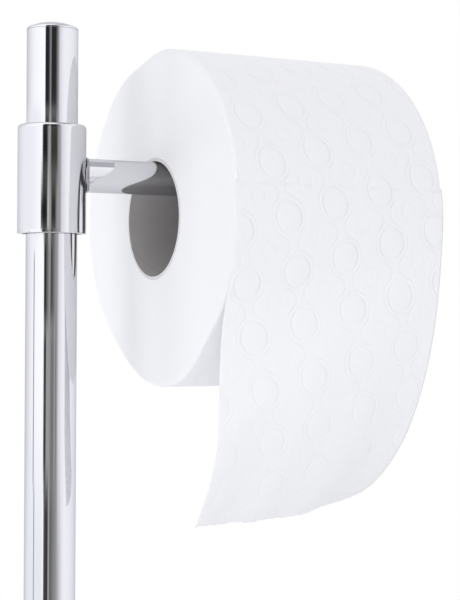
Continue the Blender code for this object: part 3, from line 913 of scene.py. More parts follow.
@dataclass
class Post:
    """Two chrome tubes on a plug, with a domed cap."""

    wall: float = 0.0012
    tube_end_round: float = 0.0001
    cap_rim_round: float = 0.0006
    cap_rise: float = 0.0022
    cap_gap: float = 0.00005
    cap_steps: int = 14
    joint_ring_height: float = 0.0016

    def build(self) -> None:
        """Build the tubes, the joint's ring and the cap."""
        for node, name in (("lower_post", "chrome_lower_tube"), ("upper_post", "chrome_upper_tube")):
            place = Solid(node)
            shape = tube(place.radius - self.wall, place.span, self.tube_end_round, WIDE_TURN)
            piece(name, shape, Body.STAND, node, CHROME)
        self.joiner()
        self.cap()

    def joiner(self) -> None:
        """Build the plug between the tubes, whose ring shows as a fine line."""
        place = Solid("post_joiner")
        foot, top, radius = place.span
        plug, half = radius - self.wall - RUNNING_GAP, self.joint_ring_height / 2
        low, high = place.centre.z - half, place.centre.z + half
        line = Outline(0.0, foot).to(plug, foot, SOFT_ROUND).to(plug, low)
        line.to(radius, low, HAIR_ROUND).to(radius, high, HAIR_ROUND).to(plug, high)
        line.to(plug, top, SOFT_ROUND).to(0.0, top)
        piece("chrome_joint_plug", line.spin(WIDE_TURN), Body.STAND, "post_joiner", CHROME)

    def cap(self) -> None:
        """Build the domed cap with its spigot in the tube."""
        foot, top, radius = Solid("post_cap").span
        levels = (foot, Solid("upper_post").high.z + self.cap_gap, top - self.cap_rise)
        spigot = radius - self.wall - RUNNING_GAP
        line = domed_cap(spigot, levels, radius, self.cap_rim_round, self.cap_rise, self.cap_steps)
        piece("chrome_post_cap", line.spin(WIDE_TURN), Body.STAND, "post_cap", CHROME)


@dataclass
class Holder:
    """The collar on its bush, its set screw, and the arm with its seat and cap."""

    collar_wall: float = 0.001775
    straight_share: float = 0.96
    collar_steps: int = 24
    edge_round: float = 0.0014
    foot_round: float = 0.0003
    lip_thickness: float = 0.0015
    screw_radius: float = 0.0025
    screw_socket_radius: float = 0.00125
    screw_socket_depth: float = 0.0009
    screw_socket_sides: int = 6
    screw_hole_chamfer: float = 0.0004
    seat_bore: float = 0.0043
    seat_thickness: float = 0.0006
    seat_round: float = 0.00015
    arm_foot_steps: int = 12
    arm_side_steps: int = 8
    arm_end_zone: float = 0.001
    arm_socket_depth: float = 0.0103
    arm_cap_rise: float = 0.0022
    arm_cap_side: float = 0.0005
    arm_cap_wall: float = 0.0016
    overrun: float = 0.002

    def build(self) -> None:
        """Build every piece that slides and turns on the post."""
        self.bush()
        self.collar()
        self.screw()
        self.seat()
        self.arm()

    def bush(self) -> None:
        """Build the nylon bush inside the collar."""
        inner = Solid("upper_post").radius + RUNNING_GAP
        shape = tube(inner, Solid("collar_bush").span, HAIR_ROUND)
        piece("bush_sleeve", shape, Body.SLIDER, "collar_bush", NYLON)

    def collar(self) -> None:
        """Build the collar with its inner lip and the drilled hole for the screw."""
        low, high, radius = Solid("collar").span
        bore, ceiling = radius - self.collar_wall, high - self.lip_thickness
        lip = Solid("upper_post").radius + RUNNING_GAP
        line = Outline(bore, low).to(radius, low, self.foot_round)
        line.evenly(radius, low + (high - low) * self.straight_share, self.collar_steps)
        line.to(radius, high, self.edge_round).to(lip, high, FINE_ROUND).to(lip, ceiling).to(bore, ceiling)
        collar = solid_of("chrome_collar", line.close().spin(WIDE_TURN), [CHROME])
        hole, outside = self.screw_radius + RUNNING_GAP, radius + self.overrun
        cutter = Outline(0.0, 0.0).to(hole, 0.0).to(hole, radius - self.screw_hole_chamfer)
        cutter.to(hole + self.screw_hole_chamfer + self.overrun, outside).to(0.0, outside)
        drilled(collar, laid(cutter.spin(SCREW_TURN), Solid("set_screw").lay(Axis.BACKWARDS)))
        settle(collar, Body.HOLDER, Slot.CHROME, "collar")

    def screw(self) -> None:
        """Build the grub screw with its six-sided socket."""
        place = Solid("set_screw")
        start, end = place.low.y, place.high.y
        lay = place.lay(Axis.BACKWARDS)
        line = Outline(0.0, start).to(self.screw_radius, start).to(self.screw_radius, end, FINE_ROUND)
        screw = solid_of("grub_screw", laid(line.to(0.0, end).spin(SCREW_TURN), lay), [STEEL])
        floor, mouth = end - self.screw_socket_depth, end + self.overrun
        socket = Outline(0.0, floor).to(self.screw_socket_radius, floor)
        socket.to(self.screw_socket_radius, mouth).to(0.0, mouth)
        drilled(screw, laid(socket.spin(self.screw_socket_sides), lay))
        settle(screw, Body.HOLDER, Slot.STEEL, "set_screw")

    def seat(self) -> None:
        """Build the thin saddle washer, bent to the collar's curve."""
        place = Solid("arm_seat")
        collar = Solid("collar").radius + RUNNING_GAP
        span = (0.0, self.seat_thickness, place.radius)
        shape = tube(self.seat_bore, span, self.seat_round, MEDIUM_TURN)
        for vert in shape.verts:
            vert.co.z += math.sqrt(collar ** 2 - vert.co.y ** 2)
        shape = laid(shape, place.lay(Axis.ALONG_ARM))
        piece("arm_seat_washer", shape, Body.HOLDER, "arm_seat", STEEL)

    def arm(self) -> None:
        """Build the polished arm, whose foot follows the saddle, and its cap."""
        place = Solid("arm")
        start, end, radius = Solid("arm_seat").high.x + RUNNING_GAP, place.high.x, place.radius
        socket, floor = radius - self.arm_cap_wall, end - self.arm_socket_depth
        line = Outline(0.0, start).evenly(radius, start, self.arm_foot_steps)
        line.evenly(radius, end - self.arm_end_zone, self.arm_side_steps)
        line.to(radius, end, HAIR_ROUND).to(socket, end).to(socket, floor).to(0.0, floor)
        shape = line.spin(WIDE_TURN)
        for vert in shape.verts:
            if abs(vert.co.z - start) < SAME_PLACE:
                vert.co.z = math.sqrt(start ** 2 - vert.co.y ** 2)
        lay = place.lay(Axis.ALONG_ARM)
        piece("chrome_arm", laid(shape, lay), Body.HOLDER, "arm", CHROME)
        cap = Solid("arm_cap")
        rim = cap.high.x - self.arm_cap_rise
        levels = (cap.low.x, rim - self.arm_cap_side, rim)
        line = domed_cap(socket - RUNNING_GAP, levels, cap.radius, HAIR_ROUND, self.arm_cap_rise)
        piece("chrome_arm_cap", laid(line.spin(MEDIUM_TURN), lay), Body.HOLDER, "arm_cap", CHROME)


@dataclass(frozen=True)
class Dent:
    """A place where the soft roll is pressed a little flat.

    Angles are in degrees round the roll's axis: 0 faces the front and 90 the top. The far
    share says how much of the depth is left at the end away from the post.
    """

    angle: float
    width: float
    depth: float
    far_share: float


@dataclass
class PaperRoll:
    """The wound paper on its cardboard core."""

    core_wall: float = 0.001
    core_gap: float = 0.0001
    core_end: float = 0.001
    core_steps: int = 6
    core_rim_normal: float = 0.3
    relief_depth: float = 0.00008
    relief_fade: float = 0.002
    edge_round: float = 0.0015
    edge_shares: tuple[tuple[float, float], ...] = ((0.6, 0.08), (0.25, 0.32), (0.05, 0.68))
    straight_from: float = 1.1
    ply_share: float = 0.3
    side_normal: float = 0.7
    columns: int = 96
    rings: int = 16
    turn: int = 448
    side_wave: float = 0.00025
    wave_counts: tuple[float, float] = (23.0, 51.0)
    second_wave: float = 0.6
    wave_share: float = 0.3
    side_sink: float = 0.5
    core_bulge: float = 0.0009
    bulge_share: float = 0.55
    bulge_power: float = 1.5
    turn_end: float = math.radians(-8.0)
    dents: tuple[Dent, ...] = (Dent(-125.0, 28.0, 0.0040, 0.3), Dent(-47.0, 17.0, 0.0036, 0.3),
                               Dent(103.0, 13.0, 0.0021, 0.0))

    def build(self) -> None:
        """Build the core and the roll."""
        place = Solid("paper_roll")
        axis = place.centre
        board = WoundBoard("core_board", Slot.BOARD, (0.52, 0.508, 0.512), 0.88, 0.0, axis.z)
        # A paler copy of the board colour, for the faces of the tube's cut ends.
        rim = WoundBoard("core_board_rim", Slot.BOARD, (0.80, 0.795, 0.82), 0.90, 0.0, axis.z)
        self.core(axis, board, rim)
        layers = PaperLayers("paper_layers", Slot.PAPER, PAPER_COLOUR, PAPER_ROUGHNESS, 0.0, axis.z)
        self.paper(place, axis, PLY, layers)

    def core(self, axis: Vector, *finishes: Finish) -> None:
        """Build the cardboard tube, in a paler board colour on its cut ends."""
        place = Solid("roll_core")
        half, outer, inner = place.half_width, place.radius, place.radius - self.core_wall
        straight = half - self.core_end
        line = Outline(inner, -half).to(outer, -half, HAIR_ROUND).evenly(outer, straight, self.core_steps)
        line.to(outer, half, HAIR_ROUND).to(inner, half).evenly(inner, -straight, self.core_steps)
        shape = laid(line.close().spin(WIDE_TURN), Axis.ALONG_ARM.matrix(axis))
        split_finish(shape, self.core_rim_normal)
        piece("board_core", shape, Body.ROLL, "roll_core", *finishes)

    def paper(self, place: Solid, axis: Vector, *finishes: Finish) -> None:
        """Build the wound paper: a turned form, then its sag and its embossing."""
        half, outer, rounding = place.half_width, place.radius, self.edge_round
        inner = Solid("roll_core").radius + self.core_gap
        straight = half - rounding * self.straight_from
        line = Outline(inner, -half).evenly(outer - rounding, -half, self.rings)
        for under, along in self.edge_shares:
            line.to(outer - rounding * under, -half + rounding * along)
        line.to(outer, -straight).evenly(outer, straight, self.columns)
        for under, along in reversed(self.edge_shares):
            line.to(outer - rounding * under, half - rounding * along)
        line.to(outer - rounding, half).evenly(inner, half, self.rings)
        shape = laid(line.close().spin(self.turn), Axis.ALONG_ARM.matrix(axis))
        self.unroll(shape, axis, outer)
        self.press(shape, axis, inner, outer, half)
        split_finish(shape, self.side_normal)
        piece("paper_wound_roll", shape, Body.ROLL, "paper_roll", *finishes)

    def unroll(self, shape: bmesh.types.BMesh, axis: Vector, outer: float) -> None:
        """Give the faces UV metres: across the paper and along its outer turn."""
        layer = shape.loops.layers.uv.new("paper_uv")
        for face in shape.faces:
            middle = face.calc_center_median() - axis
            around = self.turned(math.atan2(middle.z, -middle.y))
            for loop in face.loops:
                place = loop.vert.co - axis
                angle = math.atan2(place.z, -place.y)
                angle += math.tau * round((around - angle) / math.tau)
                loop[layer].uv = (place.x, angle * outer)

    def turned(self, angle: Union[float, np.ndarray]) -> Union[float, np.ndarray]:
        """Return an angle round the roll counted on from where the outer turn ends."""
        return (angle - self.turn_end) % math.tau + self.turn_end

    def press(self, shape: bmesh.types.BMesh, axis: Vector, inner: float, outer: float,
              half: float) -> None:
        """Flatten the roll where it sags, wave its sides and press in the embossing.

        Args:
            shape: The turned form, in place.
            axis: The middle of the roll.
            inner: The radius at the core.
            outer: The radius at the outer turn.
            half: Half of the roll's width.
        """
        places = np.array([vert.co - axis for vert in shape.verts])
        x, y, z = places.T
        radius = np.hypot(y, z)
        angle = np.arctan2(z, -y)
        outward = np.clip(x / half, 0.0, 1.0)
        flat = np.zeros(len(places))
        for dent in self.dents:
            apart = (angle - math.radians(dent.angle) + math.pi) % math.tau - math.pi
            depth = dent.depth * (1.0 - (1.0 - dent.far_share) * outward)
            flat += depth * np.exp(-(apart / math.radians(dent.width)) ** 2)
        share = np.clip((radius - inner) / (outer - inner), 0.0, 1.0)
        relief = RINGS.pillow(x, self.turned(angle) * outer) * self.relief_depth
        faded = np.clip((half - np.abs(x)) / self.relief_fade, 0.0, 1.0)
        on_ply = (radius > outer - self.edge_round * self.ply_share) * faded
        scale = (radius - flat * share + (relief - self.relief_depth) * on_ply) / radius
        first, second = self.wave_counts
        wave = np.sin(share * first + angle) + self.second_wave * np.sin(share * second - 2.0 * angle)
        moved = self.core_bulge * np.clip(1.0 - share / self.bulge_share, 0.0, 1.0) ** self.bulge_power
        sunk = (wave * self.wave_share + self.side_sink) * self.side_wave
        moved -= sunk * share * (1.0 - share) * 4.0
        x += np.sign(x) * moved * (np.abs(x) > half - SAME_PLACE)
        y *= scale
        z *= scale
        for vert, place in zip(shape.verts, places):
            vert.co = axis + Vector(place)


@dataclass(frozen=True)
class SheetEdge:
    """How one edge of the hanging end falls, with angles in degrees from straight down.

    It leaves the roll leaning back by leave, hangs straighter, and from its share curl_start
    on curls under towards its torn end. A higher settle takes the lean off sooner, and a
    higher power brings the curl later.
    """

    leave: float
    settle: float
    curl: float
    curl_start: float
    power: float
    length: float


@dataclass(frozen=True)
class Wave:
    """A sine wave: its height, its radians a metre across and along the paper, and its start."""

    height: float
    across: float
    along: float
    start: float

    def at(self, across: np.ndarray, along: Union[np.ndarray, float] = 0.0) -> np.ndarray:
        """Return the wave's height at places across and along the paper."""
        return self.height * np.sin(across * self.across + along * self.along + self.start)


@dataclass
class HangingEnd:
    """The free end of the paper, from the perforation on the roll to its torn edge."""

    wrap: float = math.radians(10.0)
    lift: float = 0.00012
    thickness: float = 0.00012
    tuck: float = 0.00032
    tuck_length: float = 0.012
    near: SheetEdge = SheetEdge(25.0, 5.0, 38.6, 0.56, 0.45, 0.1308)
    far: SheetEdge = SheetEdge(4.0, 1.1, 67.2, 0.0, 1.52, 0.1430)
    columns: int = 118
    rows: int = 180
    relief_depth: float = 0.00008
    ripple: float = 0.0006
    ripples: tuple[Wave, ...] = (Wave(1.0, 95.0, 0.0, 0.6), Wave(0.5, 230.0, 40.0, 0.0))
    tear: float = 0.00035
    teeth: tuple[Wave, ...] = (Wave(1.0, 3100.0, 0.0, 0.0), Wave(0.7, 1270.0, 0.0, 1.0),
                               Wave(0.9, 410.0, 0.0, 2.0))
    tear_from: float = 0.96
    tear_share: float = 0.04
    tear_bow: float = 0.0008
    samples: int = 600
    reserve: float = 1.02
    curl_limit: float = 1.05

    def build(self) -> None:
        """Build the sheet as a grid, bend it down and give it its thickness."""
        roll = Solid("paper_roll")
        centre, width = roll.centre, roll.half_width * 2
        shape = bmesh.new()
        bmesh.ops.create_grid(shape, x_segments=self.columns, y_segments=self.rows, size=0.5)
        across = np.array([vert.co.x + 0.5 for vert in shape.verts])
        down = np.array([0.5 - vert.co.y for vert in shape.verts])
        u = (across - 0.5) * width
        length = self.mixed("length", across) + self.tear_bow * 4.0 * across * (1.0 - across)
        torn = np.clip((down - self.tear_from) / self.tear_share, 0.0, 1.0) ** 2
        along = length * down + self.tear * sum(tooth.at(u) for tooth in self.teeth) * torn
        v = self.wrap * (roll.radius + self.lift) - along
        y, z, lean = self.fall(across, along, roll.radius + self.lift)
        ripple = self.ripple * down ** 2 * sum(wave.at(u, along) for wave in self.ripples)
        tucked = self.tuck * np.clip(1.0 - along / self.tuck_length, 0.0, 1.0) ** 2
        out = ripple + RINGS.pillow(u, v) * self.relief_depth - tucked
        y -= np.cos(lean) * out
        z -= np.sin(lean) * out
        layer = shape.loops.layers.uv.new("paper_uv")
        for number, vert in enumerate(shape.verts):
            vert.co = centre + Vector((u[number], y[number], z[number]))
            for loop in vert.link_loops:
                loop[layer].uv = (u[number], v[number])
        bmesh.ops.recalc_face_normals(shape, faces=shape.faces)
        if sum(face.normal.y for face in shape.faces) > 0.0:
            bmesh.ops.reverse_faces(shape, faces=shape.faces)
        self.finish(solid_of("paper_hanging_end", shape, [PLY]), width)

    def finish(self, sheet: bpy.types.Object, width: float) -> None:
        """Give the sheet its thickness and settle it on its body."""
        depth = sheet.modifiers.new("ply", "SOLIDIFY")
        depth.thickness = self.thickness
        depth.offset = -1.0
        settle(sheet, Body.CARRIER, Slot.PAPER, "hanging_sheet")

    def mixed(self, name: str, across: np.ndarray) -> np.ndarray:
        """Return one of the two edges' numbers, mixed over the width."""
        near, far = getattr(self.near, name), getattr(self.far, name)
        return near + (far - near) * across

    def fall(self, across: np.ndarray, along: np.ndarray, middle: float) -> tuple[np.ndarray, ...]:
        """Follow the paper down from the roll.

        Args:
            across: Each point's share of the width, from the post's side.
            along: Each point's distance along the paper from the perforation.
            middle: The radius of the paper on the roll.

        Returns:
            The points' y and z from the roll's axis, and their lean.
        """
        y, z, lean = np.zeros((3, len(across)))
        for share in np.unique(across):
            here = across == share
            leave, curl = (math.radians(self.mixed(name, share)) for name in ("leave", "curl"))
            settling, power, start, length = (
                self.mixed(name, share) for name in ("settle", "power", "curl_start", "length"))
            path = np.linspace(0.0, length * self.reserve, self.samples)
            bend = middle * (self.wrap + leave)
            free = np.clip((path - bend) / (length - bend), 0.0, self.reserve)
            curled = np.clip((free - start) / (1.0 - start), 0.0, self.curl_limit)
            hanging = leave * np.clip(1.0 - free, 0.0, 1.0) ** settling + curl * curled ** power
            angle = np.where(path < bend, path / middle - self.wrap, hanging)
            half_way = (angle[1:] + angle[:-1]) / 2
            step = path[1] - path[0]
            back = np.concatenate(([0.0], np.cumsum(np.sin(half_way) * step)))
            fallen = np.concatenate(([0.0], np.cumsum(np.cos(half_way) * step)))
            y[here] = np.interp(along[here], path, back - middle * math.cos(self.wrap))
            z[here] = np.interp(along[here], path, middle * math.sin(self.wrap) - fallen)
            lean[here] = np.interp(along[here], path, angle)
        return y, z, lean


@dataclass
class BrushCup:
    """The chrome cup and the white liner that hangs in it."""

    wall: float = 0.001
    foot_round: float = 0.006
    kick_radius: float = 0.026
    kick_height: float = 0.0032
    kick_slope: float = 0.002
    straight_share: float = 0.97
    side_steps: int = 8
    liner_wall: float = 0.0014
    liner_round: float = 0.004
    liner_rim_round: float = 0.0005
    liner_bore_round: float = 0.0004
    rim_thickness: float = 0.0016

    def build(self) -> None:
        """Build the cup and the liner about the cup's axis."""
        place = Solid("brush_cup")
        axis = Vector((place.centre.x, place.centre.y, place.low.z))
        radius, height = place.radius, place.high.z - place.low.z
        inner, slope = radius - self.wall, self.kick_radius + self.kick_slope
        line = Outline(0.0, self.kick_height).to(self.kick_radius, self.kick_height, SOFT_ROUND)
        line.to(slope, 0.0, SOFT_ROUND).to(radius, 0.0, self.foot_round)
        line.evenly(radius, height * self.straight_share, self.side_steps)
        line.to(radius, height, FINE_ROUND).to(inner, height, FINE_ROUND)
        line.to(inner, self.wall, self.foot_round - self.wall).to(slope + self.wall, self.wall)
        line.to(self.kick_radius + self.wall, self.kick_height + self.wall)
        line.to(0.0, self.kick_height + self.wall)
        shape = laid(line.spin(CUP_TURN), Matrix.Translation(axis))
        piece("chrome_cup", shape, Body.CUP, "brush_cup", CHROME)
        self.liner(axis, radius)

    def liner(self, axis: Vector, cup_radius: float) -> None:
        """Build the liner with the rim that rests on the cup."""
        place = Solid("cup_liner")
        low, high = place.low.z - axis.z, place.high.z - axis.z
        outer = cup_radius - self.wall - RUNNING_GAP
        bore, floor, rim = outer - self.liner_wall, low + self.liner_wall, high - self.rim_thickness
        line = Outline(0.0, low).to(outer, low, self.liner_round).to(outer, rim)
        line.to(cup_radius, rim, self.liner_rim_round).to(cup_radius, high, self.liner_rim_round)
        line.to(bore, high, self.liner_bore_round).to(bore, floor, self.liner_round - self.liner_wall)
        shape = laid(line.to(0.0, floor).spin(WIDE_TURN), Matrix.Translation(axis))
        piece("white_liner", shape, Body.LINER, "cup_liner", PLASTIC)


@dataclass
class ToiletBrush:
    """The brush: lid, ferrule, tubular handle, rod, hub and tufts."""

    lid_thickness: float = 0.003
    lid_edge_round: float = 0.0012
    lid_steps: int = 12
    lid_power: float = 1.6
    skirt_wall: float = 0.0015
    skirt_radius: float = 0.0387
    rod_radius: float = 0.003
    rod_tip_round: float = 0.0004
    rod_head_length: float = 0.020
    rod_head_round: float = 0.0005
    handle_wall: float = 0.001
    handle_cap_rise: float = 0.0025
    handle_cap_side: float = 0.0005
    ferrule_floor: float = 0.003
    ferrule_round: float = 0.001
    hub_round: float = 0.006
    hub_rim_round: float = 0.0008
    hub_socket_depth: float = 0.028
    tuft_rows: int = 12
    tufts_around: int = 16
    tuft_root: float = 0.0008
    tuft_short: float = 0.0006
    end_rings: tuple[tuple[float, int], ...] = ((0.0, 1), (0.4, 8), (0.8, 14))
    end_turn: float = 0.3
    end_root_rise: float = 0.004
    end_tip_rise: float = 0.006
    end_fan: float = 1.9
    end_reach: float = 1.7
    strands: int = 20
    strand_radius: float = 0.00022
    strand_tip: float = 0.6
    strand_sides: int = 4
    tuft_spread: float = 0.0022
    root_spread: float = 0.25
    uneven: float = 0.0008
    seed: int = 7

    def build(self) -> None:
        """Build every piece about the cup's axis."""
        self.lid()
        self.ferrule()
        self.handle()
        self.rod()
        self.hub()
        self.bristles()

    @property
    def hole(self) -> float:
        """Return the radius of a hole that the rod runs through."""
        return self.rod_radius + RUNNING_GAP

    def stand_up(self, name: str, shape: bmesh.types.BMesh, finish: Finish, node: str) -> None:
        """Put a shape made about Z on the cup's axis and settle it on the brush."""
        cup = Solid("brush_cup").centre
        axis = Matrix.Translation(Vector((cup.x, cup.y, 0.0)))
        piece(name, laid(shape, axis), Body.BRUSH, node, finish)

    def lid(self) -> None:
        """Build the lid: a gently raised disc with a centring skirt."""
        low, top, radius = Solid("brush_lid").span
        skirt, skirt_bore = self.skirt_radius, self.skirt_radius - self.skirt_wall
        inside = Solid("handle_ferrule").radius - radius
        bottom = Solid("cup_liner").high.z + RUNNING_GAP
        rim = bottom + self.lid_thickness
        line = Outline(self.hole, bottom).to(skirt_bore, bottom)
        line.to(skirt_bore, low, FINE_ROUND).to(skirt, low, FINE_ROUND).to(skirt, bottom)
        line.to(radius, bottom, self.lid_edge_round).to(radius, rim, self.lid_edge_round)
        for step in range(1, self.lid_steps + 1):
            share = step / self.lid_steps
            rise = (top - rim) * (1.0 - (1.0 - share) ** self.lid_power)
            line.to(radius + inside * share, rim + rise)
        line.to(self.hole, top)
        self.stand_up("chrome_lid", line.close().spin(CUP_TURN), CHROME, "brush_lid")

    def ferrule(self) -> None:
        """Build the socket that the handle stands in."""
        low, high, radius = Solid("handle_ferrule").span
        socket, floor = Solid("brush_handle").radius + RUNNING_GAP, low + self.ferrule_floor
        line = Outline(self.hole, low).to(radius, low, FINE_ROUND)
        line.to(radius, high, self.ferrule_round).to(socket, high, FINE_ROUND)
        line.to(socket, floor).to(self.hole, floor)
        self.stand_up("chrome_ferrule", line.close().spin(), CHROME, "handle_ferrule")

    def handle(self) -> None:
        """Build the tube and its domed cap."""
        place = Solid("brush_handle")
        bore = place.radius - self.handle_wall
        self.stand_up("chrome_handle", tube(bore, place.span, HAIR_ROUND), CHROME, "brush_handle")
        foot, top, radius = Solid("handle_cap").span
        rim = top - self.handle_cap_rise
        levels = (foot, rim - self.handle_cap_side, rim)
        line = domed_cap(bore - RUNNING_GAP, levels, radius, FINE_ROUND, self.handle_cap_rise)
        self.stand_up("chrome_handle_cap", line.spin(), CHROME, "handle_cap")

    def rod(self) -> None:
        """Build the rod with its head inside the handle."""
        low, _, radius = Solid("brush_rod").span
        head = Solid("brush_handle").low.z
        top = head + self.rod_head_length
        line = Outline(0.0, low).to(self.rod_radius, low, self.rod_tip_round).to(self.rod_radius, head)
        line.to(radius, head, FINE_ROUND).to(radius, top, self.rod_head_round).to(0.0, top)
        self.stand_up("steel_rod", line.spin(SMALL_TURN), STEEL, "brush_rod")

    def hub(self) -> None:
        """Build the hub that holds the tufts."""
        low, high, radius = Solid("brush_hub").span
        floor = high - self.hub_socket_depth
        line = Outline(0.0, floor).to(self.hole, floor).to(self.hole, high, FINE_ROUND)
        line.to(radius, high, self.hub_rim_round).to(radius, low, self.hub_round).to(0.0, low)
        self.stand_up("white_hub", line.spin(MEDIUM_TURN), PLASTIC, "brush_hub")

    def bristles(self) -> None:
        """Build the tufts: strands that fan out of the hub's side and its round end."""
        hub, reach = Solid("brush_hub"), Solid("bristles")
        draws = np.random.default_rng(self.seed)
        shape = bmesh.new()
        low, high = reach.low.z + self.tuft_spread * 2, reach.high.z - self.tuft_spread * 2
        side_low = hub.low.z + self.hub_round
        for row in range(self.tuft_rows):
            height = side_low + (high - side_low) * row / (self.tuft_rows - 1)
            for number in range(self.tufts_around):
                angle = math.tau * (number + 0.5 * (row % 2)) / self.tufts_around
                root = round_the_axis(angle, hub.radius - self.tuft_root, height)
                tip = round_the_axis(angle, reach.radius - self.tuft_short, height)
                self.tuft(shape, root, tip, draws)
        for ring, count in self.end_rings:
            radius = hub.radius * ring
            start = hub.low.z + self.tuft_root + ring ** 3 * self.end_root_rise
            end = low + ring ** 4 * self.end_tip_rise - self.tuft_spread * self.end_reach
            for number in range(count):
                angle = math.tau * (number + self.end_turn) / count
                root = round_the_axis(angle, radius, start)
                tip = round_the_axis(angle, radius * self.end_fan, end)
                self.tuft(shape, root, tip, draws)
        self.stand_up("nylon_bristles", shape, FIBRE, "bristles")

    def tuft(self, shape: bmesh.types.BMesh, root: Vector, tip: Vector, draws: np.random.Generator) -> None:
        """Add one tuft of thin tapered strands.

        Args:
            shape: The bristles so far.
            root: Where the tuft leaves the hub.
            tip: The middle of its far end.
            draws: The seeded draws that spread the strands.
        """
        along = (tip - root).normalized()
        for _ in range(self.strands):
            spread = Vector(draws.uniform(-1.0, 1.0, 3)) * self.tuft_spread
            spread -= along * (spread.dot(along) + abs(draws.normal()) * self.uneven)
            start, end = root + spread * self.root_spread, tip + spread
            way = end - start
            turn = Vector((0.0, 0.0, 1.0)).rotation_difference(way).to_matrix().to_4x4()
            bmesh.ops.create_cone(shape, cap_ends=True, segments=self.strand_sides,
                                  radius1=self.strand_radius, radius2=self.strand_radius * self.strand_tip,
                                  depth=way.length, matrix=Matrix.Translation((start + end) / 2) @ turn)


@dataclass(frozen=True)
class Card:
    """A dark or bright panel of the studio, as polished metal sees it.

    The angles are degrees round the post from the camera's side, to the right, and degrees
    above the horizon. The soft values are half the width of each side's fade.
    """

    start: float
    end: float
    soft_start: float
    soft_end: float
    low: float
    high: float
    colour: Colour
    soft_level: float = 0.3


@dataclass(frozen=True)
class Lamp:
    """A soft square lamp that the metal doesn't show.

    Its angles are told as a card's are. Away is the distance from the middle of the stand's
    top, size the side of the panel, and the power is in watts.
    """

    name: str
    turned: float
    raised: float
    away: float
    size: float
    power: float


